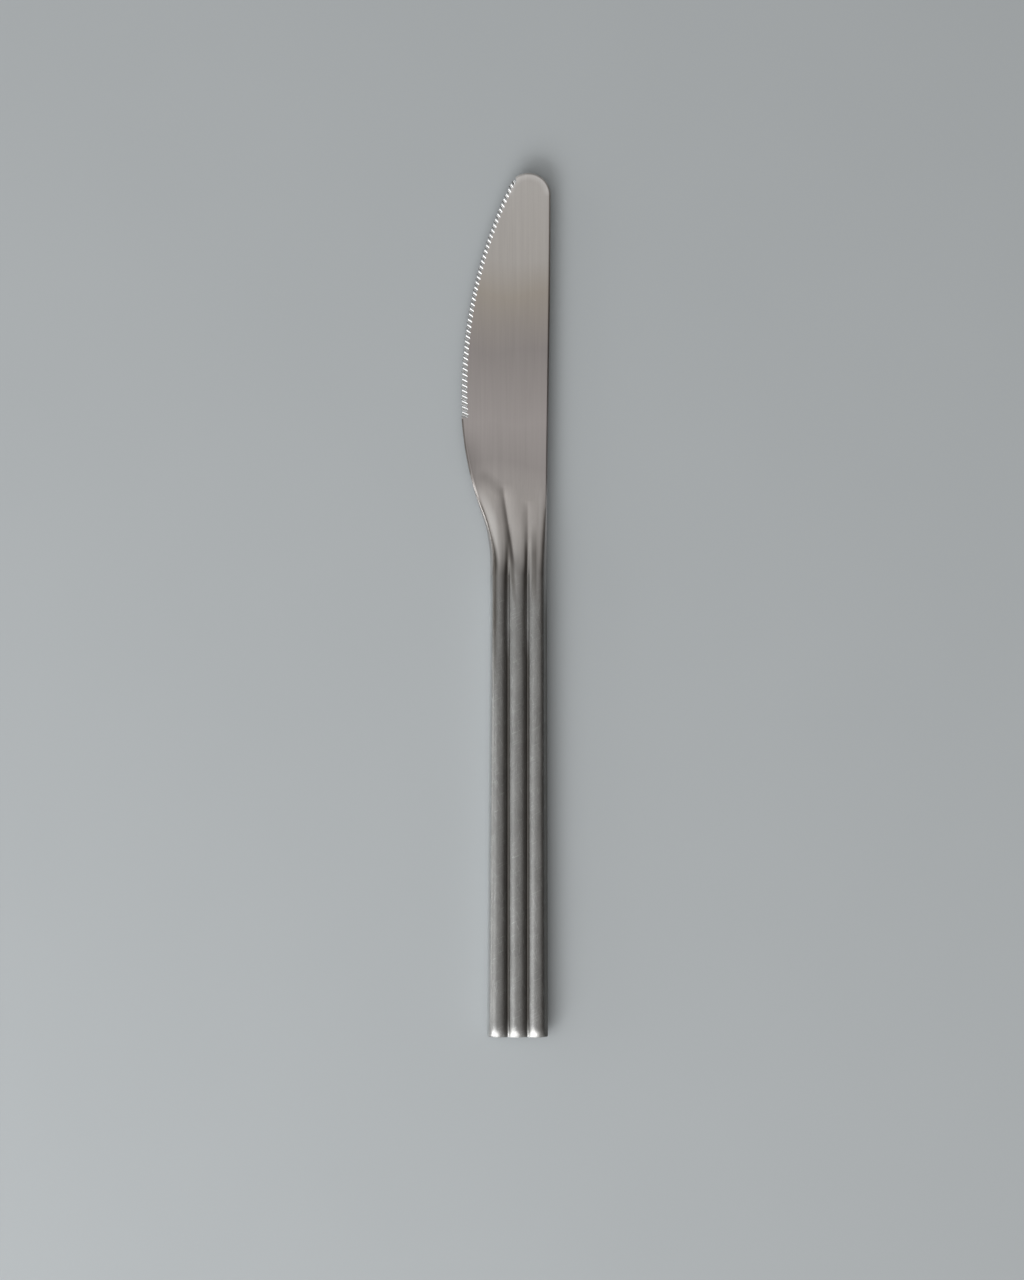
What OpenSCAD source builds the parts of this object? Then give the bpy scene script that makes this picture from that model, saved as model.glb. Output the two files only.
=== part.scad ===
// Table knife with a serrated blade and a three-ribbed hollow handle.
// The knife lies on its back ribs: +Y runs to the tip, +X to the spine, and Z = 0 is the table.
// The origin lies under the middle of the knife's box.

/* [Overall] */
// Length of the blade and its neck, from the handle's mouth to the tip
blade_len = 102.4; // [90:0.1:120]
// Length of the handle, from the butt to its mouth
handle_len = 117.6; // [100:0.1:130]
// Overall width, from the belly of the edge to the spine at the tip
blade_w = 22.84; // [21:0.02:26]

/* [Blade outline] */
// Radius of the round tip
tip_r = 5.6; // [4:0.1:7]
// Distance from the tip back to the widest place of the blade
belly_back = 56.5; // [50:0.5:62]
// Straight length of neck in front of the handle's mouth
neck_len = 3.4; // [1:0.1:8]
// How far the spine at the neck lies inside the spine at the tip
spine_rise = 0.92; // [0:0.02:2]
// Share of the heel's curve, from the belly to the neck, that bulges out
heel_out_share = 0.715; // [0.4:0.005:0.85]

/* [Blade thickness] */
// Thickness at the spine, where the ribs have run out
heel_spine_t = 2.1; // [1.6:0.05:2.8]
// Thickness at the edge side, where the ribs have run out
heel_edge_t = 1.1; // [0.9:0.05:1.4]
// Thickness at the spine, at the tip
tip_spine_t = 1.2; // [1.1:0.05:1.6]
// Width of the eased corner along the spine and the edge
ease_w = 0.45; // [0.2:0.05:0.8]
// Share of the half thickness that the eased corner takes at the side
ease_share = 0.55; // [0.3:0.05:0.7]
// Depth to which the flats are ground below the forging's skin
grind = 0.03; // [0.02:0.01:0.08]
// Length over which the ribs run out into the blade
runout_len = 25.5; // [18:0.5:30]
// Share of the edge's outward sweep that the flute on the edge side follows
flute_follow_share = 0.12; // [0:0.02:0.6]
// Share of their depth that the flutes keep up to their soft ends
flute_keep_share = 0.34; // [0.1:0.01:0.6]
// How fast they lose the rest in front of the handle's mouth
flute_fall = 5; // [1:1:8]
// Share of the run-out at which the flutes end
flute_end_share = 0.9; // [0.7:0.01:1]
// How late and how squarely the flutes end there
flute_nose = 8; // [2:1:12]

/* [Serration] */
// Distance between teeth along the edge
tooth_pitch = 1.4; // [1.1:0.05:2]
// Radius of the wheel's rim that grinds each gullet
gullet_r = 0.9; // [0.8:0.05:1.6]
// Reach of the gullets across the face at the heel end
heel_reach = 1.7; // [1.2:0.05:2.2]
// Reach of the gullets across the face at the tip end
tip_reach = 0.9; // [0.7:0.05:1.6]
// Depth of the scallops that the gullets leave in the edge
gullet_bite = 0.25; // [0.1:0.05:0.4]
// Thickness of the blunt land that is left along the serrated edge
edge_land = 0.1; // [0.06:0.01:0.2]
// Angle between a gullet and the square across the edge
gullet_slant = 27; // [0:1:40]
// Distance from the widest place back to the last gullet
serration_back = 5.4; // [0:0.2:10]

/* [Handle] */
// Width of the handle at the butt
butt_w = 15.5; // [14:0.1:18]
// Width of the handle at its mouth
mouth_w = 14.4; // [13:0.1:15.4]
// How far the spine side of the butt stands out past the mouth
butt_flare = 0.28; // [0:0.02:0.6]
// Thickness over the ribs
handle_t = 5.5; // [4.8:0.1:7]
// Thickness between the bottoms of the grooves
groove_t = 3.4; // [2.8:0.1:3.8]
// Width of the flat bottom of a groove
groove_w = 0.3; // [0.1:0.05:0.6]
// Distance between the two grooves
rib_pitch = 5; // [4.6:0.05:5.4]
// Distance from the spine side of the mouth to the crest of the middle rib
rib_inset = 7.42; // [7:0.02:7.8]
// Width of the flat ground along the side seams
seam_w = 0.2; // [0.1:0.05:0.6]
// Length over which the ribs round down to the butt's end
butt_ease = 3.2; // [1.6:0.1:5]
// Share of the height by which they have come down there
butt_ease_share = 0.42; // [0.2:0.01:0.6]
// Radius of the two corners of the butt, seen from above
corner_r = 0.5; // [0.2:0.1:1.5]

/* [Inside the handle] */
// Wall of the pressed shells
wall = 0.7; // [0.5:0.05:0.9]
// Thickness of the closed butt end
end_wall = 3.4; // [2:0.1:5]
// Length of the blade's spigot in the handle's mouth
spigot_len = 4; // [2:0.5:10]
// Length of the tang behind the spigot
tang_len = 52; // [30:1:80]
// Radius of the tang
tang_r = 1.3; // [0.9:0.05:1.5]
// Clearance of the spigot, the tang and the core
fit_gap = 0.05; // [0.03:0.01:0.1]

/* [Hidden] */

// Steps of the curves
arc_steps = 5;
runout_steps = 14;
handle_steps = 6;
round_steps = 5;
heel_steps = 5;
tooth_steps = 4;
tip_steps = 8;

// One overrun for every cut and every joint that must not end flush
overrun = 1;

// Places along the knife
butt_y = -(blade_len + handle_len) / 2;
mouth_y = butt_y + handle_len;
tip_y = mouth_y + blade_len;
runout_y = mouth_y + runout_len;
belly_y = tip_y - belly_back;
tip_cy = tip_y - tip_r;
spigot_y = mouth_y - spigot_len;
core_y = butt_y + end_wall;

// Places across the knife
edge_x = -blade_w / 2;
spine_x = blade_w / 2;
tip_cx = spine_x - tip_r;
mouth_spine_x = spine_x - spine_rise;
mouth_edge_x = mouth_spine_x - mouth_w;
butt_spine_x = mouth_spine_x + butt_flare;
butt_edge_x = butt_spine_x - butt_w;
mid_rib_x = mouth_spine_x - rib_inset;
mid_z = handle_t / 2;

// The belly is one arc that touches the tip's arc and stands square at the widest place
tip_dx = tip_cx - edge_x;
tip_dy = tip_cy - belly_y;
belly_r = (tip_dx * tip_dx + tip_dy * tip_dy - tip_r * tip_r) / (2 * (tip_dx - tip_r));
belly_turn = asin(tip_dy / (belly_r - tip_r));
tip_arc_y = tip_cy + tip_r * sin(belly_turn);

// The heel is an S of two arcs between the widest place and the neck
heel_y = mouth_y + neck_len;
heel_dx = mouth_edge_x - edge_x;
heel_dy = belly_y - heel_y;
heel_turn = 2 * atan(heel_dx / heel_dy);
heel_out_r = heel_out_share * heel_dy / sin(heel_turn);
heel_in_r = (1 - heel_out_share) * heel_dy / sin(heel_turn);
heel_join_y = heel_y + heel_in_r * sin(heel_turn);

// Slopes of the blade's flats, which are true planes
slope_x = (heel_spine_t - heel_edge_t) / 2 / blade_w;
slope_y = (tip_spine_t - heel_spine_t) / 2 / (tip_cy - runout_y);
roll = -atan(slope_x);
pitch = atan(slope_y * cos(roll));

function mix(a, b, t) = a + (b - a) * t;
function ease(t) = let (u = min(max(t, 0), 1)) u * u * (3 - 2 * u);
function sag(r, d) = r - sqrt(max(r * r - d * d, 0));

// Inset of the two rounded corners of the butt
function corner_at(y) = y < butt_y + corner_r ? sag(corner_r, butt_y + corner_r - y) : 0;

// Outline of the knife on the edge side
function edge_at(y) =
    y > tip_arc_y ? tip_cx - tip_r + sag(tip_r, y - tip_cy)
    : y > belly_y ? edge_x + sag(belly_r, y - belly_y)
    : y > heel_join_y ? edge_x + sag(heel_out_r, belly_y - y)
    : y > heel_y ? mouth_edge_x - sag(heel_in_r, y - heel_y)
    : y > mouth_y ? mouth_edge_x
    : mix(butt_edge_x, mouth_edge_x, (y - butt_y) / handle_len) + corner_at(y);

// Outline of the knife on the spine side
function spine_at(y) =
    y > tip_cy ? tip_cx + tip_r - sag(tip_r, y - tip_cy)
    : y > mouth_y ? mix(mouth_spine_x, spine_x, ease((y - mouth_y) / (tip_cy - mouth_y)))
    : mix(butt_spine_x, mouth_spine_x, (y - butt_y) / handle_len) - corner_at(y);

// Place along the edge: the distance s runs forward from the widest place, along the arc there
function edge_r(s) = s > 0 ? belly_r : heel_out_r;
function edge_turn(s) = s / edge_r(s) * 180 / PI;
function edge_point(s) = [
    edge_x + edge_r(s) * (1 - cos(edge_turn(s))),
    belly_y + edge_r(s) * sin(edge_turn(s))
];
edge_len = serration_back + belly_r * belly_turn * PI / 180;
teeth = floor(edge_len / tooth_pitch);

// Half thickness of the blade between its two flats
function half_at(x, y) = heel_edge_t / 2 + slope_x * (x - edge_x) + slope_y * (y - runout_y);

// Crests of the three ribs: the one on the edge side leans out with the heel, the middle one half as far
function groove_shift(y) = y > heel_y ? flute_follow_share * (edge_at(y) - mouth_edge_x) : 0;
function crest_at(i, y) = mid_rib_x + (i - 1) * rib_pitch + (1 - i / 2) * groove_shift(y);

// One rib of the section at y, as points from left to right, each side a quarter of an ellipse.
// An inner side stops at the groove's bottom, and an outer side ends at the seam's flat.
function rib(i, y, inset) =
    let (crest = crest_at(i, y), top = mid_z - inset, floor = groove_t / 2 - inset)
    let (groove_turn = acos((groove_t / 2) / mid_z), stop = acos(floor / top), seam = seam_w / 2)
    let (left_gap = i == 0 ? crest - edge_at(y) : crest - (crest_at(i - 1, y) + crest) / 2 - groove_w / 2)
    let (right_gap = i == 2 ? spine_at(y) - crest : (crest_at(i + 1, y) - crest) / 2 - groove_w / 2)
    let (left_a = (i == 0 ? left_gap : left_gap / sin(groove_turn)) - inset)
    let (right_a = (i == 2 ? right_gap : right_gap / sin(groove_turn)) - inset)
    [
        for (k = [-arc_steps:arc_steps])
            let (outer = (i == 0 && k < 0) || (i == 2 && k > 0))
            let (turn = (outer ? 90 : stop) * abs(k) / arc_steps)
            let (x = crest + (k < 0 ? -left_a : right_a) * sin(turn))
            [x, outer ? mix(seam, top, cos(turn)) : top * cos(turn)]
    ];

// The upper half of the handle's section at y, set in by inset
function ribs(y, inset) = concat(rib(0, y, inset), rib(1, y, inset), rib(2, y, inset));
columns = 3 * (2 * arc_steps + 1);

// The upper half of the blade's section at y with the ribs' columns: flat, with eased corners
function eased(x, y) = (half_at(x, y) + grind) * (1 - ease_share);
function flat_x(k, y, x) =
    k == 0 ? edge_at(y)
    : k < arc_steps ? mix(edge_at(y) + ease_w, crest_at(0, y), (k - 1) / (arc_steps - 1))
    : k == columns - 1 ? spine_at(y)
    : k > columns - 1 - arc_steps
        ? mix(spine_at(y) - ease_w, crest_at(2, y), (columns - 2 - k) / (arc_steps - 1))
    : x;
function flat_z(k, x, y) = k == 0 || k == columns - 1 ? eased(x, y) : half_at(x, y) + grind;

// Share of the flutes' depth that is left at a share u of the run-out: a fast fall, a hold and an end
function flute_share(u) =
    mix(flute_keep_share, 1, pow(max(1 - u, 0), flute_fall))
    * max(1 - pow(u / flute_end_share, flute_nose), 0);

// The neck's section: a body that thins from the height of the crests to the flats, less the flutes
function neck(y) =
    let (u = (y - mouth_y) / runout_len, fade = ease(u), left = flute_share(u), bars = ribs(y, 0))
    [
        for (k = [0:columns - 1])
            let (x = flat_x(k, y, bars[k][0]), fluted = k > arc_steps && k < columns - 1 - arc_steps)
            let (full = fluted ? mid_z : bars[k][1], relief = full - bars[k][1])
            [mix(bars[k][0], x, fade), mix(full, flat_z(k, x, y), fade) - relief * left]
    ];

// The blade's sections in front of the neck are rings of ten points, five above and five below.
// On the edge side they stand at the side, at the eased corner and at the reach of the gullets,
// and where the tip is narrow these take a share of its width.
blade_ring = 10;
ease_width_share = 0.25;
reach_width_share = 0.4;
floor_step_share = 1 / 3;
function skin_at(x, y) = half_at(x, y) + grind;
function reach_at(s) = mix(heel_reach, tip_reach, min(max((s + serration_back) / edge_len, 0), 1));
function spine_points(y, side) =
    let (x = spine_at(y), w = min(ease_w, (x - edge_at(y)) * ease_width_share))
    let (inner = [x - w, y, mid_z + side * skin_at(x - w, y)])
    let (outer = [x, y, mid_z + side * eased(x, y)])
    side > 0 ? [inner, outer] : [outer, inner];

// A section without a gullet at y, whose third point lies back along the edge by a share of the reach
function plain(y, reach, back_share) =
    let (a = edge_at(y), wide = spine_at(y) - a)
    let (w = min(ease_w, wide * ease_width_share), r = min(reach, wide * reach_width_share))
    let (back = y - r * back_share)
    concat(
        [[a, y, mid_z + eased(a, y)], [a + w, y, mid_z + skin_at(a + w, y)]],
        [[a + r, back, mid_z + skin_at(a + r, back)]],
        spine_points(y, 1),
        spine_points(y, -1),
        [[a + r, back, mid_z - skin_at(a + r, back)]],
        [[a + w, y, mid_z - skin_at(a + w, y)], [a, y, mid_z - eased(a, y)]]
    );

// A section through the serration at a distance s along the edge, at a share of the way through a tooth:
// the gullet's floor climbs from the underside of the edge to the upper face, and lies lowest half way
function toothed(s, tooth_share) =
    let (p = edge_point(s), turn = edge_turn(s), y = p[1])
    let (half = skin_at(p[0], y), reach = reach_at(s), slope = 2 * half / (reach - gullet_bite))
    let (lift = sag(gullet_r, abs(tooth_share - 0.5) * tooth_pitch * cos(gullet_slant)))
    let (start = max(gullet_bite - lift / slope, 0), stop = gullet_bite + (2 * half - lift) / slope)
    let (low = max(lift - gullet_bite * slope, edge_land), step = (stop - start) * floor_step_share)
    let (inward = [cos(turn), -sin(turn)], back = [-sin(turn), -cos(turn)] * tan(gullet_slant))
    let (at = function(w) p + inward * w + back * w)
    let (q = at(start), m = at(start + step), r = at(stop))
    concat(
        [[q[0], q[1], mid_z - half + low], [m[0], m[1], mid_z - half + mix(low, 2 * half, floor_step_share)]],
        [[r[0], r[1], mid_z + skin_at(r[0], r[1])]],
        spine_points(y, 1),
        spine_points(y, -1),
        [[r[0], r[1], mid_z - skin_at(r[0], r[1])]],
        [[m[0], m[1], mid_z - skin_at(m[0], m[1])], [q[0], q[1], mid_z - half]]
    );

// A closed ring at y from the upper half of a section, which the lower half mirrors
function ring(half, y) =
    let (n = len(half))
    concat(
        [for (p = half) [p[0], y, mid_z + p[1]]],
        [for (k = [n - 1:-1:0]) [half[k][0], y, mid_z - half[k][1]]]
    );

// A closed ring at y from the upper half of a section, which is cut off level at a height
function half_ring(half, y, cut) =
    let (n = len(half))
    concat([for (p = half) [p[0], y, mid_z + p[1]]], [for (k = [n - 1:-1:0]) [half[k][0], y, cut]]);

// Triangles between neighbours a and a_next of one line of points, and b and b_next of another
function patch(a, a_next, b, b_next) =
    b == b_next ? [[a, b, a_next]] : [[a, b, b_next], [a, b_next, a_next]];
function band(n, a, b) =
    [for (k = [0:n - 1]) each patch(a + k, a + (k + 1) % n, b + k, b + (k + 1) % n)];

// The two ends of a skin, from points a and b on: each upper column is joined with the one under it
function butt_cap(n, a) =
    [for (k = [0:n / 2 - 2]) each patch(a + n - 1 - k, a + n - 2 - k, a + k, a + k + 1)];
function tip_cap(n, b) =
    [for (k = [0:n / 2 - 2]) each patch(b + k, b + k + 1, b + n - 1 - k, b + n - 2 - k)];

// A solid skinned over rings that all have as many points
module skin(rings) {
    n = len(rings[0]);
    steps = len(rings) - 1;
    sides = [for (i = [0:steps - 1]) each band(n, i * n, (i + 1) * n)];
    faces = concat(butt_cap(n, 0), sides, tip_cap(n, steps * n));
    polyhedron([for (r = rings) each r], faces, convexity = 6);
}

// Where a point of the neck's last ring lands on the blade's first ring
function landing(k) =
    let (column = k % columns)
    (k < columns ? 0 : 5) + (column < 2 ? column : column < columns - 2 ? 2 : column - columns + 5);

// The forging in front of the handle's mouth: the neck with its ribs, and the blade with its teeth
module blank() {
    heel_end = edge_point(-serration_back)[1];
    tip_turn = (90 - belly_turn) / (tip_steps + 1);
    slant_share = tan(gullet_slant);
    neck_rings = [
        for (i = [0:runout_steps])
            let (y = mix(mouth_y, runout_y, i / runout_steps))
            ring(neck(y), y)
    ];
    heel_rings = [
        for (i = [1:heel_steps])
            plain(mix(runout_y, heel_end, i / heel_steps), heel_reach, i == heel_steps ? slant_share : 0)
    ];
    tooth_rings = [
        for (i = [1:teeth * tooth_steps - 1])
            toothed(i * tooth_pitch / tooth_steps - serration_back, (i % tooth_steps) / tooth_steps)
    ];
    last_tooth = plain(edge_point(teeth * tooth_pitch - serration_back)[1], tip_reach, slant_share);
    tip_rings = [
        for (i = [1:tip_steps])
            plain(tip_cy + tip_r * sin(belly_turn + i * tip_turn), tip_reach, 0)
    ];
    end_ring = [for (p = tip_rings[tip_steps - 1]) [p[0], tip_y, p[2]]];
    front_rings = concat(heel_rings, tooth_rings, [last_tooth], tip_rings, [end_ring]);
    n = 2 * columns;
    m = blade_ring;
    seam = runout_steps * n;
    front = seam + n;
    steps = len(front_rings) - 1;
    neck_faces = [for (i = [0:runout_steps - 1]) each band(n, i * n, (i + 1) * n)];
    bridge = [
        for (k = [0:n - 1])
            each patch(seam + k, seam + (k + 1) % n, front + landing(k), front + landing((k + 1) % n))
    ];
    front_faces = [for (i = [0:steps - 1]) each band(m, front + i * m, front + (i + 1) * m)];
    polyhedron(
        [for (r = concat(neck_rings, front_rings)) each r],
        concat(butt_cap(n, 0), neck_faces, bridge, front_faces, tip_cap(m, front + steps * m)),
        convexity = 8
    );
}

// A box whose underside is the plane of the upper flat
module above_flat() {
    translate([edge_x, runout_y, mid_z + half_at(edge_x, runout_y)])
        rotate([pitch, roll, 0])
            translate([-overrun, 0, 0])
                cube([blade_w + 2 * overrun, blade_len, handle_t]);
}

module tang(gap) {
    translate([mid_rib_x, spigot_y - tang_len - gap, mid_z])
        rotate([-90, 0, 0])
            cylinder(r = tang_r + gap, h = tang_len + gap + overrun, $fn = 32);
}

// The blade, its neck, the spigot that plugs the handle's mouth, and the tang
module blade() {
    color([0.6, 0.58, 0.56])
        difference() {
            union() {
                blank();
                bar(wall + fit_gap, spigot_y, mouth_y + overrun);
                tang(0);
            }
            above_flat();
            translate([0, 0, handle_t]) mirror([0, 0, 1]) above_flat();
        }
}

// A ribbed bar with the handle's section set in by inset, from one place to another
module bar(inset, from, to) {
    skin([for (y = [from, to]) ring(ribs(min(y, mouth_y), inset), y)]);
}

// The upper half of the handle's outside, rounded over the butt's end
module half_handle() {
    round_rows = [
        for (i = [0:round_steps])
            let (left = 1 - i / round_steps)
            [butt_y + butt_ease * (1 - left), 1 - butt_ease_share * left * left]
    ];
    long_rows = [for (i = [1:handle_steps]) [mix(butt_y + butt_ease, mouth_y, i / handle_steps), 1]];
    skin([
        for (row = concat(round_rows, long_rows))
            half_ring([for (p = ribs(row[0], 0)) [p[0], p[1] * row[1]]], row[0], mid_z)
    ]);
}

// One pressed half of the handle, open at the mouth and closed at the butt
module half_shell() {
    difference() {
        half_handle();
        skin([
            for (y = [core_y, mouth_y + overrun])
                half_ring(ribs(min(y, mouth_y), wall), y, mid_z - overrun)
        ]);
    }
}

module handle_front_shell() {
    color([0.52, 0.52, 0.51]) half_shell();
}

module handle_back_shell() {
    color([0.48, 0.48, 0.47]) translate([0, 0, handle_t]) mirror([0, 0, 1]) half_shell();
}

// The core cast into the shells round the tang
module handle_filler() {
    color([0.75, 0.72, 0.64])
        difference() {
            bar(wall + fit_gap, core_y + fit_gap, spigot_y);
            tang(fit_gap);
        }
}

blade();
handle_front_shell();
handle_back_shell();
handle_filler();
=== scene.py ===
"""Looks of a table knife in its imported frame: brushed blade, scuffed three-ribbed handle."""
import logging
import math
from dataclasses import dataclass
from enum import Enum
from typing import Any, Optional, Sequence, Union

import bmesh
import bpy
import numpy as np
from mathutils import Matrix, Vector


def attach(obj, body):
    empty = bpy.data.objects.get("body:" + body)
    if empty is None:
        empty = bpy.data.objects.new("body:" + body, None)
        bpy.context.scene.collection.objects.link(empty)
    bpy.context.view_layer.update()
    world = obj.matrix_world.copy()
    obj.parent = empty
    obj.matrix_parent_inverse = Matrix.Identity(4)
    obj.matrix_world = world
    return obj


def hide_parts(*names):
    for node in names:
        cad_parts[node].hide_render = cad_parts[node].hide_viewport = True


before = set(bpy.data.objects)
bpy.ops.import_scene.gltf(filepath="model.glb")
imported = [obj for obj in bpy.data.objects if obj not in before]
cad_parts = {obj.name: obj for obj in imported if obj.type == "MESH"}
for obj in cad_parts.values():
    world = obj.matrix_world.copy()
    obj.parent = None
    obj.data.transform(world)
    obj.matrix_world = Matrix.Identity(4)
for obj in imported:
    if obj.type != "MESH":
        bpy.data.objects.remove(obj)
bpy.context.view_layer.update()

LOG = logging.getLogger("table_knife")
ROOT_BODY = "root"
# Metres to a millimetre
MM = 0.001
# Distance in millimetres under which two points of a mesh are one
SAME_POINT = 1e-5
# Numbers of a Mix node's colour sockets, whose names stand for other sockets of it too
MIX_SHARE, MIX_FIRST, MIX_SECOND, MIX_RESULT = 0, 6, 7, 2

Array = np.ndarray
Pair = tuple[float, float]
Triple = tuple[float, float, float]
Colour = Triple
Stops = tuple[tuple[float, Colour], ...]


class Slot(Enum):
    """Names of two material slots, which no piece in this script is given."""

    BLADE = "blade_steel"
    HANDLE = "handle_steel"


class Side(Enum):
    """The handle's two pressed halves, of which the back one mirrors the front one."""

    FRONT = "front"
    BACK = "back"


# Sums on values and on node links


def ease(share: Union[float, Array]) -> Union[float, Array]:
    """Smooth step of a share, held between nought and one."""
    held = np.clip(share, 0.0, 1.0)
    return held * held * (3.0 - 2.0 * held)


def sag(radius: float, offset: Union[float, Array]) -> Union[float, Array]:
    """How far a circle of a radius has fallen away at an offset from its top."""
    return radius - np.sqrt(np.maximum(radius * radius - offset * offset, 0.0))


def mix(start: Any, end: Any, share: Any) -> Any:
    """Value at a share of the way from start to end."""
    return start + (end - start) * share


class Link:
    """A node's output that takes part in sums with numbers and with other links."""

    def __init__(self, graph: "Graph", socket: bpy.types.NodeSocket) -> None:
        """Keeps the graph and the socket.

        Args:
            graph: Graph that new Math nodes go into.
            socket: Output socket that the link stands for.
        """
        self.graph = graph
        self.socket = socket

    def _sum(self, operation: str, first: "Operand", second: "Operand") -> "Link":
        """Adds one Math node.

        Args:
            operation: Name of the Math node's operation.
            first: Upper operand.
            second: Lower operand.

        Returns:
            The node's result.
        """
        return self.graph.node("ShaderNodeMath", {"operation": operation}, {0: first, 1: second})

    def __add__(self, other: "Operand") -> "Link":
        """Sum."""
        return self._sum("ADD", self, other)

    def __radd__(self, other: "Operand") -> "Link":
        """Sum with the link on the right."""
        return self._sum("ADD", other, self)

    def __sub__(self, other: "Operand") -> "Link":
        """Difference."""
        return self._sum("SUBTRACT", self, other)

    def __rsub__(self, other: "Operand") -> "Link":
        """Difference with the link on the right."""
        return self._sum("SUBTRACT", other, self)

    def __mul__(self, other: "Operand") -> "Link":
        """Product."""
        return self._sum("MULTIPLY", self, other)

    def __rmul__(self, other: "Operand") -> "Link":
        """Product with the link on the right."""
        return self._sum("MULTIPLY", other, self)

    def __truediv__(self, other: "Operand") -> "Link":
        """Quotient."""
        return self._sum("DIVIDE", self, other)

    def __rtruediv__(self, other: "Operand") -> "Link":
        """Quotient with the link on the right."""
        return self._sum("DIVIDE", other, self)

    def __abs__(self) -> "Link":
        """Size without the sign."""
        return self._sum("ABSOLUTE", self, 0.0)

    def above(self, limit: "Operand", width: float) -> "Link":
        """Mask that climbs from nought to one while the value passes a limit.

        Args:
            limit: Value at which the climb starts.
            width: Length of the climb.

        Returns:
            The clamped mask.
        """
        return self.graph.clamp((self - limit) / width)

    def below(self, limit: "Operand", width: float) -> "Link":
        """Mask that falls from one to nought while the value comes up to a limit.

        Args:
            limit: Value at which the mask reaches nought.
            width: Length of the fall.

        Returns:
            The clamped mask.
        """
        return self.graph.clamp((limit - self) / width)


Operand = Union[Link, float]


@dataclass(frozen=True)
class Band:
    """A stretch of a measure, which fades in from its low end and out to its high end."""

    low: float
    high: float
    fade_in: float
    fade_out: float

    def mask(self, measure: Link, low_shift: Operand = 0.0, high_shift: Operand = 0.0) -> Link:
        """Mask of the stretch.

        Args:
            measure: The measure, such as a place along the knife.
            low_shift: What is added to the low end.
            high_shift: What is added to the high end.

        Returns:
            The mask, which is one between the fades.
        """
        rising = measure.above(self.low + low_shift, self.fade_in)
        return rising * measure.below(self.high + high_shift, self.fade_out)


@dataclass(frozen=True)
class Grain:
    """A noise: its cells to the millimetre along X, Y and Z, its finer layers and their weight."""

    cells: Triple
    layers: float = 2.0
    layer_weight: float = 0.5


class Graph:
    """A node tree that takes nodes, settings and socket values in one call each."""

    def __init__(self, tree: bpy.types.NodeTree) -> None:
        """Keeps the tree that the nodes go into."""
        self.tree = tree

    def place(self, kind: str, settings: dict[str, Any], inputs: dict[Any, Any]) -> bpy.types.Node:
        """Adds a node, sets it up and fills its sockets.

        Args:
            kind: Type name of the node.
            settings: Properties, set before the sockets.
            inputs: Values or links, by the socket's name or number.

        Returns:
            The new node.
        """
        node = self.tree.nodes.new(kind)
        for name, value in settings.items():
            if name == "stops":
                self._set_stops(node.color_ramp, value)
            else:
                setattr(node, name, value)
        for key, value in inputs.items():
            if isinstance(value, Link):
                self.tree.links.new(value.socket, node.inputs[key])
            else:
                node.inputs[key].default_value = value
        return node

    def node(
        self, kind: str, settings: dict[str, Any], inputs: dict[Any, Any], output: Any = 0
    ) -> Link:
        """Adds a node and returns one of its outputs, by name or number."""
        return Link(self, self.place(kind, settings, inputs).outputs[output])

    @staticmethod
    def _set_stops(ramp: bpy.types.ColorRamp, stops: Stops) -> None:
        """Fills a colour ramp with its stops.

        Args:
            ramp: The ramp of a new node, with two elements.
            stops: Place and colour of each stop.
        """
        while len(ramp.elements) < len(stops):
            ramp.elements.new(1.0)
        for element, (place, colour) in zip(ramp.elements, stops):
            element.position = place
            element.color = (*colour, 1.0)

    def clamp(self, value: Operand) -> Link:
        """Value held between nought and one."""
        return self.node("ShaderNodeClamp", {}, {"Value": value})

    def vector(self, operation: str, *values: Any) -> Link:
        """One Vector Math node.

        Args:
            operation: Name of the operation.
            *values: Operands in socket order; a fourth socket takes a scale.

        Returns:
            The resulting vector.
        """
        keys = (0, "Scale") if operation == "SCALE" else range(len(values))
        return self.node("ShaderNodeVectorMath", {"operation": operation}, dict(zip(keys, values)))

    def number_of(self, operation: str, *values: Any) -> Link:
        """One Vector Math node whose result is a number."""
        sockets = dict(enumerate(values))
        return self.node("ShaderNodeVectorMath", {"operation": operation}, sockets, "Value")

    def parts(self, vector: Link) -> tuple[Link, Link, Link]:
        """The three parts of a vector."""
        node = self.place("ShaderNodeSeparateXYZ", {}, {0: vector})
        return tuple(Link(self, socket) for socket in node.outputs)

    def join(self, x: Operand, y: Operand, z: Operand) -> Link:
        """A vector from its three parts."""
        return self.node("ShaderNodeCombineXYZ", {}, {0: x, 1: y, 2: z})

    def blend(self, share: Operand, low: Union[Link, Colour], high: Union[Link, Colour]) -> Link:
        """Colour between two colours.

        Args:
            share: Share of the second colour.
            low: First colour.
            high: Second colour.

        Returns:
            The blended colour.
        """
        first, second = (end if isinstance(end, Link) else (*end, 1.0) for end in (low, high))
        sockets = {MIX_SHARE: share, MIX_FIRST: first, MIX_SECOND: second}
        return self.node("ShaderNodeMix", {"data_type": "RGBA"}, sockets, MIX_RESULT)

    def noise(self, place: Link, grain: Grain) -> Link:
        """Noise on a place that is given in millimetres.

        Args:
            place: Place on the piece.
            grain: Fineness of the noise.

        Returns:
            The noise, about one half on average.
        """
        scaled = self.vector("MULTIPLY", place, grain.cells)
        fineness = {"Scale": 1.0, "Detail": grain.layers, "Roughness": grain.layer_weight}
        return self.node("ShaderNodeTexNoise", {}, {"Vector": scaled, **fineness})


# The shape of the knife


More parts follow.
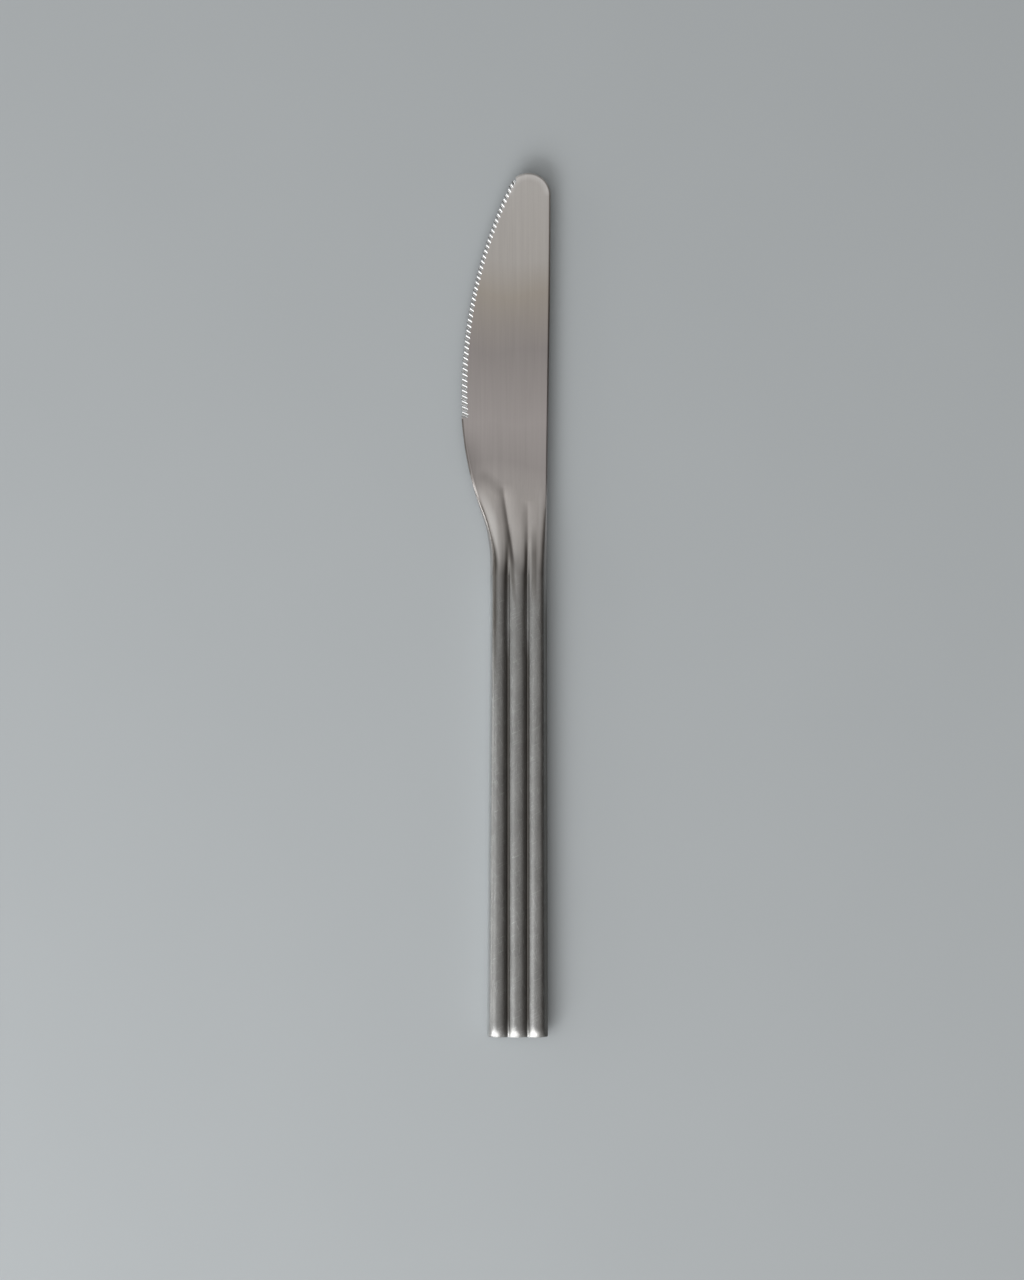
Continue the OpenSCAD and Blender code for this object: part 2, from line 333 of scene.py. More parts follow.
@dataclass(frozen=True)
class KnifeForm:
    """Sizes of the knife in millimetres of the CAD's frame, and the lines that follow from them."""

    # The blade's outline, seen from above
    blade_len: float = 102.4
    handle_len: float = 117.6
    blade_w: float = 22.84
    tip_r: float = 5.6
    belly_back: float = 56.5
    neck_len: float = 3.4
    spine_rise: float = 0.92
    heel_out_share: float = 0.715
    # The blade's thicknesses between its flats
    heel_spine_t: float = 2.1
    heel_edge_t: float = 1.1
    tip_spine_t: float = 1.2
    # The neck, where the ribs and grooves run out
    runout_len: float = 25.5
    flute_follow_share: float = 0.12
    groove_end_share: float = 0.37
    groove_fall: float = 1.3
    # The serrated edge
    tooth_pitch: float = 1.4
    serration_back: float = 5.4
    tip_teeth: int = 2
    # The handle and its three ribs
    butt_w: float = 15.5
    mouth_w: float = 14.4
    butt_flare: float = 0.28
    handle_t: float = 5.5
    groove_t: float = 3.4
    groove_w: float = 0.3
    groove_fillet: float = 0.16
    rib_pitch: float = 5.0
    rib_inset: float = 7.42
    floor_shares: Triple = (-0.25, 0.0, 0.25)
    seam_w: float = 0.2
    corner_r: float = 0.3
    # Half the step over which the edge's slope is taken
    slope_step: float = 0.01

    @property
    def butt_y(self) -> float:
        """End of the handle."""
        return -(self.blade_len + self.handle_len) / 2

    @property
    def mouth_y(self) -> float:
        """Mouth of the handle, where the blade's neck starts."""
        return self.butt_y + self.handle_len

    @property
    def tip_y(self) -> float:
        """End of the blade."""
        return self.mouth_y + self.blade_len

    @property
    def runout_y(self) -> float:
        """Place where the ribs have run out into the flats."""
        return self.mouth_y + self.runout_len

    @property
    def belly_y(self) -> float:
        """Widest place of the blade."""
        return self.tip_y - self.belly_back

    @property
    def tip_centre(self) -> Pair:
        """Centre of the round tip."""
        return self.spine_x - self.tip_r, self.tip_y - self.tip_r

    @property
    def edge_x(self) -> float:
        """Edge at the widest place."""
        return -self.blade_w / 2

    @property
    def spine_x(self) -> float:
        """Spine at the tip."""
        return self.blade_w / 2

    @property
    def mouth_spine_x(self) -> float:
        """Spine side of the handle's mouth."""
        return self.spine_x - self.spine_rise

    @property
    def mouth_edge_x(self) -> float:
        """Edge side of the handle's mouth."""
        return self.mouth_spine_x - self.mouth_w

    @property
    def mid_z(self) -> float:
        """Height of the middle plane."""
        return self.handle_t / 2

    @property
    def belly_r(self) -> float:
        """Radius of the arc from the widest place to the tip."""
        dx, dy = self.tip_centre[0] - self.edge_x, self.tip_centre[1] - self.belly_y
        return (dx * dx + dy * dy - self.tip_r**2) / (2 * (dx - self.tip_r))

    @property
    def belly_turn(self) -> float:
        """Turn of that arc, in radians."""
        return math.asin((self.tip_centre[1] - self.belly_y) / (self.belly_r - self.tip_r))

    @property
    def heel_y(self) -> float:
        """Front end of the straight neck."""
        return self.mouth_y + self.neck_len

    @property
    def heel_arcs(self) -> Triple:
        """The heel's two arcs, which meet the belly and the neck without a kink.

        Returns:
            Radii of the outer and the inner arc, and the place along the knife where they meet.
        """
        dy = self.belly_y - self.heel_y
        turn = 2 * math.atan((self.mouth_edge_x - self.edge_x) / dy)
        outer = self.heel_out_share * dy / math.sin(turn)
        inner = (1 - self.heel_out_share) * dy / math.sin(turn)
        return outer, inner, self.heel_y + inner * math.sin(turn)

    @property
    def edge_len(self) -> float:
        """Length of the serrated edge."""
        return self.serration_back + self.belly_r * self.belly_turn

    @property
    def teeth(self) -> int:
        """Number of gullets, with the few on the start of the tip's round."""
        return math.floor(self.edge_len / self.tooth_pitch) + self.tip_teeth

    @property
    def belly_end_y(self) -> float:
        """Place where the belly's arc goes over into the round tip."""
        return self.tip_centre[1] + self.tip_r * math.sin(self.belly_turn)

    def corner_at(self, y: Array) -> Array:
        """Inset of the butt's two round corners."""
        return sag(self.corner_r, np.maximum(self.butt_y + self.corner_r - y, 0.0))

    def edge_at(self, y: Array) -> Array:
        """Outline on the edge side.

        Args:
            y: Places along the knife.

        Returns:
            Places across the knife, of the same shape.
        """
        outer, inner, join = self.heel_arcs
        tip_x, tip_y = self.tip_centre
        butt_edge_x = self.mouth_spine_x + self.butt_flare - self.butt_w
        along = (y - self.butt_y) / self.handle_len
        return np.select(
            [y > self.belly_end_y, y > self.belly_y, y > join, y > self.heel_y, y > self.mouth_y],
            [
                tip_x - self.tip_r + sag(self.tip_r, y - tip_y),
                self.edge_x + sag(self.belly_r, y - self.belly_y),
                self.edge_x + sag(outer, self.belly_y - y),
                self.mouth_edge_x - sag(inner, y - self.heel_y),
                self.mouth_edge_x + 0.0 * y,
            ],
            mix(butt_edge_x, self.mouth_edge_x, along) + self.corner_at(y),
        )

    def spine_at(self, y: Array) -> Array:
        """Outline on the spine side.

        Args:
            y: Places along the knife.

        Returns:
            Places across the knife, of the same shape.
        """
        tip_x, tip_y = self.tip_centre
        rise = ease((y - self.mouth_y) / (tip_y - self.mouth_y))
        along = (y - self.butt_y) / self.handle_len
        flare = mix(self.butt_flare, 0.0, along)
        return np.select(
            [y > tip_y, y > self.mouth_y],
            [
                tip_x + self.tip_r - sag(self.tip_r, y - tip_y),
                mix(self.mouth_spine_x, self.spine_x, rise),
            ],
            self.mouth_spine_x + flare - self.corner_at(y),
        )

    def edge_point(self, distance: float) -> Pair:
        """Point of the edge at a distance from the widest place.

        Args:
            distance: Length of edge that runs forward, or back where it is negative.

        Returns:
            The point, on the tip's round where the distance is past the belly's arc.
        """
        beyond = distance - self.belly_r * self.belly_turn
        if beyond > 0:
            tip_x, tip_y = self.tip_centre
            turn = self.belly_turn + beyond / self.tip_r
            return tip_x - self.tip_r * math.cos(turn), tip_y + self.tip_r * math.sin(turn)
        radius = self.belly_r if distance > 0 else self.heel_arcs[0]
        turn = distance / radius
        return self.edge_x + radius * (1 - math.cos(turn)), self.belly_y + radius * math.sin(turn)

    def half_at(self, x: Array, y: Array) -> Array:
        """Half thickness of the blade between its flats.

        Args:
            x: Places across the knife.
            y: Places along the knife, of the same shape.

        Returns:
            The half thicknesses.
        """
        slope_x = (self.heel_spine_t - self.heel_edge_t) / 2 / self.blade_w
        slope_y = (self.tip_spine_t - self.heel_spine_t) / 2 / (self.tip_centre[1] - self.runout_y)
        return self.heel_edge_t / 2 + slope_x * (x - self.edge_x) + slope_y * (y - self.runout_y)

    def groove_share(self, along: Array) -> Array:
        """Share of the grooves' depth that is left at a share of the run-out."""
        return np.maximum(1 - along / self.groove_end_share, 0.0) ** self.groove_fall

    def crests(self, y: Array) -> Array:
        """Places across the knife of the three ribs' crests.

        Args:
            y: Places along the knife.

        Returns:
            One row of places for each crest, from the edge side.
        """
        follow = self.flute_follow_share * (self.edge_at(y) - self.mouth_edge_x)
        lean = np.where(y > self.heel_y, follow, 0.0)
        middle = self.mouth_spine_x - self.rib_inset
        return np.stack([middle + (i - 1) * self.rib_pitch + (1 - i / 2) * lean for i in range(3)])

    def rib_height(self, x: Array, y: Array, inset: float = 0.0) -> Array:
        """Height of the ribbed skin over the middle plane.

        Args:
            x: Places across the knife.
            y: Places along the knife, of the same shape.
            inset: Distance by which the skin is set in.

        Returns:
            The heights: quarter ellipses over the ribs, with a round fillet along each groove.
        """
        crest = self.crests(y)
        edge, spine = self.edge_at(y) + inset, self.spine_at(y) - inset
        top, floor, seam = self.mid_z - inset, self.groove_t / 2 - inset, self.seam_w / 2
        nearest = np.abs(x - crest).argmin(axis=0)
        near = np.take_along_axis(crest, nearest[None], axis=0)[0]
        gap = (crest[1] - crest[0]) / 2
        gap = np.where(x > crest[1], (crest[2] - crest[1]) / 2, gap) - self.groove_w / 2
        side = gap / math.sin(math.acos(self.groove_t / 2 / self.mid_z)) - inset
        inner = top * np.sqrt(np.maximum(1 - ((x - near) / side) ** 2, 0.0))
        share = np.clip(0.5 + (inner - floor) / (2 * self.groove_fillet), 0.0, 1.0)
        inner = mix(floor, inner, share) + self.groove_fillet * share * (1 - share)
        reach = np.where(x < crest[0], crest[0] - edge, spine - crest[2])
        outer = mix(seam, top, np.sqrt(np.maximum(1 - ((x - near) / reach) ** 2, 0.0)))
        return np.where((x < crest[0]) | (x > crest[2]), outer, inner)

    def rib_columns(self, y: float, steps: int, inset: float = 0.0) -> Array:
        """Places across the knife at which a ribbed section is sampled.

        Args:
            y: Place along the knife.
            steps: Number of steps from a crest to either end of its rib.
            inset: Distance by which the section is set in.

        Returns:
            The places, from the edge side to the spine side.
        """
        row = np.array([y])
        crest = self.crests(row)[:, 0]
        edge, spine = float(self.edge_at(row)[0]) + inset, float(self.spine_at(row)[0]) - inset
        stop = math.acos(self.groove_t / 2 / self.mid_z)
        turns = np.linspace(0.0, 1.0, steps + 1)
        places: list[float] = []
        for i in range(3):
            left = crest[i] - edge if i == 0 else (crest[i] - crest[i - 1] - self.groove_w) / 2
            right = spine - crest[i] if i == 2 else (crest[i + 1] - crest[i] - self.groove_w) / 2
            left_turn = math.pi / 2 if i == 0 else stop
            right_turn = math.pi / 2 if i == 2 else stop
            places += list(crest[i] - left * np.sin(turns[:0:-1] * left_turn) / math.sin(left_turn))
            places += list(crest[i] + right * np.sin(turns * right_turn) / math.sin(right_turn))
            if i < 2:
                valley = crest[i] + right + self.groove_w / 2
                places += [valley + share * self.groove_w for share in self.floor_shares]
        return np.array(places)

    def outline_distance(self, x: Array, y: Array) -> tuple[Array, Array]:
        """Distances of points inside the outline from its two sides.

        Args:
            x: Places across the knife.
            y: Places along the knife, of the same shape.

        Returns:
            The distances from the edge side and from the spine side.
        """
        tip_x, tip_y = self.tip_centre
        from_tip = self.tip_r - np.hypot(x - tip_x, y - tip_y)
        step = self.slope_step
        slope = (self.edge_at(y + step) - self.edge_at(y - step)) / (2 * step)
        plain = (x - self.edge_at(y)) / np.sqrt(1 + slope * slope)
        belly = self.belly_r - np.hypot(x - self.edge_x - self.belly_r, y - self.belly_y)
        edge = np.where(y > self.belly_end_y, from_tip, np.where(y > self.belly_y, belly, plain))
        spine = np.where(y > tip_y, from_tip, self.spine_at(y) - x)
        return np.maximum(edge, 0.0), np.maximum(spine, 0.0)


# Finishes


def new_material(name: str) -> tuple[bpy.types.Material, Graph, bpy.types.Node]:
    """A node material with a fresh Principled shader.

    Args:
        name: Name of the material.

    Returns:
        The material, its graph and the shader.
    """
    material = bpy.data.materials.new(name)
    material.use_nodes = True
    material.node_tree.nodes.clear()
    graph = Graph(material.node_tree)
    shader = graph.place("ShaderNodeBsdfPrincipled", {}, {})
    graph.place("ShaderNodeOutputMaterial", {}, {"Surface": Link(graph, shader.outputs[0])})
    return material, graph, shader


def feed(graph: Graph, shader: bpy.types.Node, values: dict[str, Any]) -> None:
    """Sets or links the sockets of a shader.

    Args:
        graph: Graph of the material.
        shader: The Principled shader.
        values: Number, colour or link of each socket, by name.
    """
    for name, value in values.items():
        if isinstance(value, Link):
            graph.tree.links.new(value.socket, shader.inputs[name])
        elif isinstance(value, tuple):
            shader.inputs[name].default_value = (*value, 1.0)
        else:
            shader.inputs[name].default_value = value


def place_in_mm(graph: Graph) -> Link:
    """Place on the piece, in millimetres of the shared frame."""
    place = graph.node("ShaderNodeTexCoord", {}, {}, "Object")
    return graph.vector("SCALE", place, 1.0 / MM)


def bump(graph: Graph, height: Link, depth: float) -> Link:
    """Normal that a height pattern from nought to one gives, with its depth in metres."""
    return graph.node("ShaderNodeBump", {}, {"Strength": 1.0, "Distance": depth, "Height": height})


def far_from(graph: Graph, place: Link, centre: Pair) -> Link:
    """Distance from a centre in the plane of the table."""
    spoke = graph.vector("SUBTRACT", place, (*centre, 0.0))
    return graph.number_of("LENGTH", graph.vector("MULTIPLY", spoke, (1.0, 1.0, 0.0)))


@dataclass(frozen=True)
class ShadeStreak:
    """A streak of painted shade along the knife that crosses the handle's mouth, in millimetres."""

    middle_x: float
    half_w: float
    strength: float
    drift: float = 0.0


@dataclass(frozen=True)
class PaintedShade:
    """The painted shade that both steels share round the handle's mouth, in millimetres."""

    form: KnifeForm
    # Colour of the painted shade
    tint: Colour = (0.10, 0.09, 0.08)
    # Painted shade on the first rib's flank by the mouth
    flank_x: Band = Band(low=-3.45, high=-1.8, fade_in=0.4, fade_out=0.7)
    flank_y: Band = Band(low=-26.0, high=16.0, fade_in=22.0, fade_out=6.0)
    flank_strength: float = 0.88
    # Painted shade streaks over the grooves' ends and the third rib's flank
    shade_streak_y: Band = Band(low=-2.0, high=21.0, fade_in=8.0, fade_out=8.0)
    shade_streak_fade: float = 0.5
    shade_streaks: tuple[ShadeStreak, ...] = (
        ShadeStreak(middle_x=0.35, half_w=0.8, strength=0.5),
        ShadeStreak(middle_x=1.8, half_w=0.7, strength=0.65, drift=-0.07),
        ShadeStreak(middle_x=5.2, half_w=0.65, strength=0.6),
        ShadeStreak(middle_x=7.25, half_w=0.9, strength=0.6),
    )

    def flank(self, graph: Graph, place: Link, colour: Link) -> Link:
        """Paints shade on the flank of the first rib.

        Args:
            graph: Graph of the material.
            place: Place on the piece.
            colour: Colour of the bare steel.

        Returns:
            The darkened colour.
        """
        x, y, _ = graph.parts(place)
        mask = self.flank_x.mask(x) * self.flank_y.mask(y)
        return graph.blend(mask * self.flank_strength, colour, self.tint)

    def streaks(self, graph: Graph, place: Link, colour: Link) -> Link:
        """Paints shade on the grooves' ends and on the third rib's flank.

        Args:
            graph: Graph of the material.
            place: Place on the piece.
            colour: Colour before the painted shade.

        Returns:
            The colour with the painted shade streaks.
        """
        x, y, _ = graph.parts(place)
        reach = self.shade_streak_y.mask(y)
        for shade_streak in self.shade_streaks:
            middle = (y - self.form.mouth_y) * shade_streak.drift + shade_streak.middle_x
            spot = abs(x - middle).below(shade_streak.half_w, self.shade_streak_fade)
            colour = graph.blend(spot * reach * shade_streak.strength, colour, self.tint)
        return colour


@dataclass(frozen=True)
class NeckTone:
    """The painted highlights and shade over the blade's neck, in millimetres."""

    form: KnifeForm
    # Colours of the painted shade and of the painted highlights
    dark: Colour = (0.10, 0.09, 0.08)
    pale: Colour = (0.80, 0.78, 0.76)
    # The painted shade of the slanting stroke at the end of the first flute
    shade_stroke_end: Pair = (-0.8, 28.8)
    shade_stroke_way: Pair = (0.76, -0.65)
    shade_stroke_along: Band = Band(low=-8.0, high=1.0, fade_in=2.0, fade_out=1.4)
    shade_stroke_half_w: float = 2.0
    shade_stroke_fade: float = 1.6
    shade_stroke_strength: float = 0.2
    # The painted highlight on the third rib's crest
    third_crest_x: float = 8.9
    third_crest_y: Band = Band(low=8.0, high=30.0, fade_in=5.0, fade_out=8.0)
    third_crest_half_w: float = 0.7
    third_crest_fade: float = 0.5
    third_crest_strength: float = 0.45
    # The stretch by the mouth, over which the bands inside the rim draw aside
    mouth_end: float = 19.0
    mouth_fade: float = 9.0
    # The painted highlights on the first rib's crest and side, and the painted shade line inside
    # the rim, by their distance from it
    first_crest: Band = Band(low=1.0, high=3.6, fade_in=0.5, fade_out=1.2)
    first_crest_shifts: Pair = (0.9, -0.5)
    first_crest_y: Band = Band(low=7.0, high=31.0, fade_in=5.0, fade_out=8.0)
    first_crest_strength: float = 0.6
    side_w: float = 0.75
    side_fade: float = 0.3
    side_strength: float = 0.5
    rim: Band = Band(low=0.46, high=1.05, fade_in=0.15, fade_out=0.3)
    rim_shifts: Pair = (0.25, 0.8)
    rim_y: Band = Band(low=7.0, high=31.0, fade_in=4.0, fade_out=6.0)
    rim_strength: float = 0.8

    def shade_stroke(self, graph: Graph, x: Link, y: Link, colour: Link) -> Link:
        """Paints shade over the slanting stroke at the end of the first flute.

        Args:
            graph: Graph of the material.
            x: Place across the knife.
            y: Place along the knife.
            colour: Colour before the smudge.

        Returns:
            The colour with the painted shade.
        """
        right, up = x - self.shade_stroke_end[0], y - self.shade_stroke_end[1]
        along = right * self.shade_stroke_way[0] + up * self.shade_stroke_way[1]
        aside = abs(right * self.shade_stroke_way[1] - up * self.shade_stroke_way[0])
        mask = aside.below(self.shade_stroke_half_w, self.shade_stroke_fade) * self.shade_stroke_along.mask(along)
        return graph.blend(mask * self.shade_stroke_strength, colour, self.dark)

    def third_rib(self, graph: Graph, x: Link, y: Link, colour: Link) -> Link:
        """Paints a highlight on the crest of the third rib.

        Args:
            graph: Graph of the material.
            x: Place across the knife.
            y: Place along the knife.
            colour: Colour before the crest.

        Returns:
            The colour with the painted highlight.
        """
        crest = abs(x - self.third_crest_x).below(self.third_crest_half_w, self.third_crest_fade)
        crest = crest * self.third_crest_y.mask(y) * self.third_crest_strength
        return graph.blend(crest, colour, self.pale)

    def rim_side(self, graph: Graph, place: Link, y: Link, colour: Link) -> Link:
        """Paints light and shade on the first rib: highlights on the crest and on the side by the
        mouth, a shade line inside the rim.

        Args:
            graph: Graph of the material.
            place: Place on the piece.
            y: Place along the knife.
            colour: Colour before the tints.

        Returns:
            The tinted colour.
        """
        radius = self.form.heel_arcs[1]
        centre = (self.form.mouth_edge_x - radius, self.form.heel_y)
        inside = far_from(graph, place, centre) - radius
        low = y.below(self.mouth_end, self.mouth_fade)
        near, far = self.first_crest_shifts
        crest = self.first_crest.mask(inside, low * near, low * far) * self.first_crest_y.mask(y)
        colour = graph.blend(crest * self.first_crest_strength, colour, self.pale)
        side = inside.below(self.side_w, self.side_fade) * low
        colour = graph.blend(side * self.side_strength, colour, self.pale)
        near, far = self.rim_shifts
        rim = self.rim.mask(inside, low * near, low * far) * self.rim_y.mask(y)
        return graph.blend(rim * self.rim_strength, colour, self.dark)

    def over(self, graph: Graph, place: Link, colour: Link) -> Link:
        """Lays all the painted highlights and shade of the neck over a colour.

        Args:
            graph: Graph of the material.
            place: Place on the piece.
            colour: Colour of the blade.

        Returns:
            The tinted colour.
        """
        x, y, _ = graph.parts(place)
        colour = self.third_rib(graph, x, y, self.shade_stroke(graph, x, y, colour))
        return self.rim_side(graph, place, y, colour)


@dataclass(frozen=True)
class BrushedSteel:
    """The blade's finish: fine lines along the knife over a soft, warm change of tint that is
    partly painted reflection, with painted highlights and shade.
    """

    form: KnifeForm
    name: str = "brushed_blade_steel"
    # Tones along the blade: the steel's warm tone, with painted reflection that pales it towards
    # the tip and bands it
    steel_and_reflection_tones: Stops = (
        (0.06, (0.38, 0.37, 0.36)),
        (0.12, (0.46, 0.44, 0.425)),
        (0.19, (0.61, 0.58, 0.56)),
        (0.26, (0.62, 0.585, 0.565)),
        (0.335, (0.51, 0.475, 0.465)),
        (0.43, (0.57, 0.53, 0.52)),
        (0.58, (0.465, 0.43, 0.42)),
        (0.71, (0.57, 0.52, 0.465)),
        (0.80, (0.67, 0.64, 0.61)),
        (1.0, (0.73, 0.705, 0.68)),
    )
    # Colour of the painted shade line along the heel; the next is the painted highlight round the
    # tip
    painted_dark: Colour = (0.10, 0.09, 0.08)
    tip_highlight_tint: Colour = (0.93, 0.91, 0.89)
    tints_len: float = 110.0
    # The clouds and the brushed lines
    cloud: Grain = Grain((0.05, 0.03, 0.05), 1.0)
    cloud_sway: float = 0.12
    fine: Grain = Grain((9.0, 0.05, 9.0), 3.0, 0.6)
    fine_weight: float = 1.3
    broad: Grain = Grain((1.1, 0.02, 1.1))
    broad_weight: float = 1.0
    line_tone: float = 0.86
    line_depth: float = 0.000004
    roughness: float = 0.34
    roughness_sway: float = 0.1
    # The painted highlight round the tip and the painted shade line along the heel
    rim_r: float = 3.6
    rim_w: float = 1.7
    rim_back: float = 0.5
    rim_fade: float = 1.5
    heel_line_w: float = 0.55
    heel_line_fade: float = 0.25
    heel_line_y: Band = Band(low=30.0, high=47.6, fade_in=4.0, fade_out=0.3)
    heel_line_strength: float = 0.8

    def tip_highlight(self, graph: Graph, place: Link, along: Link) -> Link:
        """Mask of the painted highlight round the tip.

        Args:
            graph: Graph of the material.
            place: Place on the piece.
            along: Place along the knife.

        Returns:
            The mask.
        """
        centre = self.form.tip_centre
        beyond = along.above(centre[1] - self.rim_back, self.rim_fade)
        return far_from(graph, place, centre).above(self.rim_r, self.rim_w) * beyond

    def heel_line(self, graph: Graph, place: Link, along: Link) -> Link:
        """Mask of the painted shade line along the heel's corner.

        Args:
            graph: Graph of the material.
            place: Place on the piece.
            along: Place along the knife.

        Returns:
            The mask.
        """
        radius = self.form.heel_arcs[0]
        inside = radius - far_from(graph, place, (self.form.edge_x + radius, self.form.belly_y))
        return inside.below(self.heel_line_w, self.heel_line_fade) * self.heel_line_y.mask(along)

    def build(self) -> bpy.types.Material:
        """Makes the material.

        Returns:
            The material.
        """
        material, graph, shader = new_material(self.name)
        place = place_in_mm(graph)
        along = graph.parts(place)[1]
        sway = (graph.noise(place, self.cloud) - 0.5) * self.cloud_sway
        # Painted reflection along the blade, laid into the steel's tone
        share = graph.clamp(along / self.tints_len + sway)
        tint = graph.node("ShaderNodeValToRGB", {"stops": self.steel_and_reflection_tones}, {"Fac": share})
        # Painted highlight round the tip
        tint = graph.blend(self.tip_highlight(graph, place, along), tint, self.tip_highlight_tint)
        fine, broad = graph.noise(place, self.fine), graph.noise(place, self.broad)
        lines = 0.5 + (fine - 0.5) * self.fine_weight + (broad - 0.5) * self.broad_weight
        lines = graph.clamp(lines)
        colour = graph.blend(lines, graph.vector("SCALE", tint, self.line_tone), tint)
        # Painted shade round the handle's mouth, shared with the handle
        painted_shade = PaintedShade(self.form)
        colour = painted_shade.flank(graph, place, colour)
        # Painted shade line along the heel
        heel = self.heel_line(graph, place, along) * self.heel_line_strength
        colour = NeckTone(self.form).over(graph, place, graph.blend(heel, colour, self.painted_dark))
        feed(
            graph,
            shader,
            {
                "Base Color": painted_shade.streaks(graph, place, colour),
                "Metallic": 1.0,
                "Roughness": self.roughness + (lines - 0.5) * self.roughness_sway,
                "Normal": bump(graph, fine, self.line_depth),
            },
        )
        return material


@dataclass(frozen=True)
class ScuffedSteel:
    """The handle's finish: a duller steel with small scuffs, fine scratches and a clouded sheen."""

    form: KnifeForm
    name: str = "scuffed_handle_steel"
    clean: Colour = (0.39, 0.39, 0.385)
    worn: Colour = (0.24, 0.24, 0.235)
    scratch: Colour = (0.58, 0.59, 0.59)
    mouth: Colour = (0.38, 0.37, 0.36)
    # Colours of the painted shade and of the painted light on the edge side
    painted_shade_tone: Colour = (0.10, 0.09, 0.08)
    painted_light: Colour = (0.72, 0.73, 0.73)
    # The patterns of wear, and the scratches with their turns and seeds
    cloud: Grain = Grain((0.35, 0.12, 0.35), 3.0, 0.6)
    cloud_weight: float = 1.2
    speckle: Grain = Grain((3.2, 2.2, 3.2), 3.0, 0.65)
    speckle_weight: float = 0.9
    lines: Grain = Grain((6.0, 0.08, 6.0))
    line_weight: float = 0.5
    strokes: Grain = Grain((7.0, 0.22, 1.5), 1.0)
    stroke_turns: tuple[Pair, ...] = ((0.12, 3.0), (-0.35, 17.0), (1.1, 29.0))
    stroke_level: float = 0.68
    stroke_edge: float = 0.03
    stroke_strength: float = 0.55
    # The tone by the mouth, the painted shade in the grooves, and the painted light and shade on
    # the handle's two sides
    mouth_fade: float = 9.0
    mouth_strength: float = 0.8
    groove_shade_half_w: float = 0.64
    groove_shade_fade: float = 0.35
    groove_shade_y: Band = Band(low=-109.0, high=-6.0, fade_in=4.0, fade_out=8.0)
    groove_shade_strength: float = 0.75
    taper: float = 0.007
    edge_side_w: float = 0.75
    spine_side_w: float = 0.8
    side_fade: float = 0.6
    lit_side_end: float = 12.0
    lit_side_fade: float = 10.0
    spine_shade_fade: float = 12.0
    spine_shade_strength: float = 0.8
    # The relief of speckle, scratches and lines, and the sheen
    relief_shares: Triple = (0.5, 0.5, 0.3)
    relief_depth: float = 0.000012
    roughness: float = 0.36
    speckle_sway: float = 0.14
    stroke_sheen: float = 0.06

    def scratches(self, graph: Graph, place: Link) -> Link:
        """Mask of thin scratches in a few directions.

        Args:
            graph: Graph of the material.
            place: Place on the piece.

        Returns:
            The mask.
        """
        mask: Optional[Link] = None
        for turn, seed in self.stroke_turns:
            turned = graph.node(
                "ShaderNodeMapping",
                {"vector_type": "POINT"},
                {"Vector": place, "Location": (seed, seed, seed), "Rotation": (0.0, 0.0, turn)},
            )
            one = graph.noise(turned, self.strokes).above(self.stroke_level, self.stroke_edge)
            mask = one if mask is None else graph.clamp(mask + one)
        return mask

    def shaded(self, graph: Graph, place: Link, colour: Link) -> Link:
        """Paints light and shade on the section: shade in the grooves, light on the edge side and
        shade on the spine side.

        Args:
            graph: Graph of the material.
            place: Place on the piece.
            colour: Colour before the tints.

        Returns:
            The tinted colour.
        """
        form = self.form
        x, y, _ = graph.parts(place)
        middle = form.mouth_spine_x - form.rib_inset
        for groove_x in (middle - form.rib_pitch / 2, middle + form.rib_pitch / 2):
            # Painted shade along the grooves
            groove_shade = abs(x - groove_x).below(self.groove_shade_half_w, self.groove_shade_fade)
            groove_shade = groove_shade * self.groove_shade_y.mask(y) * self.groove_shade_strength
            colour = graph.blend(groove_shade, colour, self.painted_shade_tone)
        # Painted light on the edge side of the handle
        edge_side = (y - form.mouth_y) * self.taper + (form.mouth_edge_x + self.edge_side_w)
        painted_light = x.below(edge_side, self.side_fade) * y.below(self.lit_side_end, self.lit_side_fade)
        colour = graph.blend(painted_light, colour, self.painted_light)
        # Painted shade on the spine side
        painted_dark = x.above(form.mouth_spine_x - self.spine_side_w, self.side_fade)
        painted_dark = painted_dark * y.below(form.mouth_y, self.spine_shade_fade) * self.spine_shade_strength
        return graph.blend(painted_dark, colour, self.painted_shade_tone)

    def build(self) -> bpy.types.Material:
        """Makes the material.

        Returns:
            The material.
        """
        material, graph, shader = new_material(self.name)
        place = place_in_mm(graph)
        along = graph.parts(place)[1]
        cloud, speckle = graph.noise(place, self.cloud), graph.noise(place, self.speckle)
        lines, marks = graph.noise(place, self.lines), self.scratches(graph, place)
        wear = 0.5 + (cloud - 0.5) * self.cloud_weight + (speckle - 0.5) * self.speckle_weight
        wear = graph.clamp(wear + (lines - 0.5) * self.line_weight)
        body = graph.blend(wear, self.worn, self.clean)
        body = graph.blend(marks * self.stroke_strength, body, self.scratch)
        near_mouth = along.above(self.form.mouth_y - self.mouth_fade, self.mouth_fade)
        colour = graph.blend(near_mouth * self.mouth_strength, body, self.mouth)
        # Painted shade round the handle's mouth, shared with the blade
        painted_shade = PaintedShade(self.form)
        colour = painted_shade.streaks(graph, place, painted_shade.flank(graph, place, colour))
        speckle_share, mark_share, line_share = self.relief_shares
        height = speckle * speckle_share + marks * mark_share + lines * line_share
        sheen = (speckle - 0.5) * self.speckle_sway - marks * self.stroke_sheen
        feed(
            graph,
            shader,
            {
                "Base Color": self.shaded(graph, place, colour),
                "Metallic": 1.0,
                "Roughness": self.roughness + sheen,
                "Normal": bump(graph, height, self.relief_depth),
            },
        )
        return material


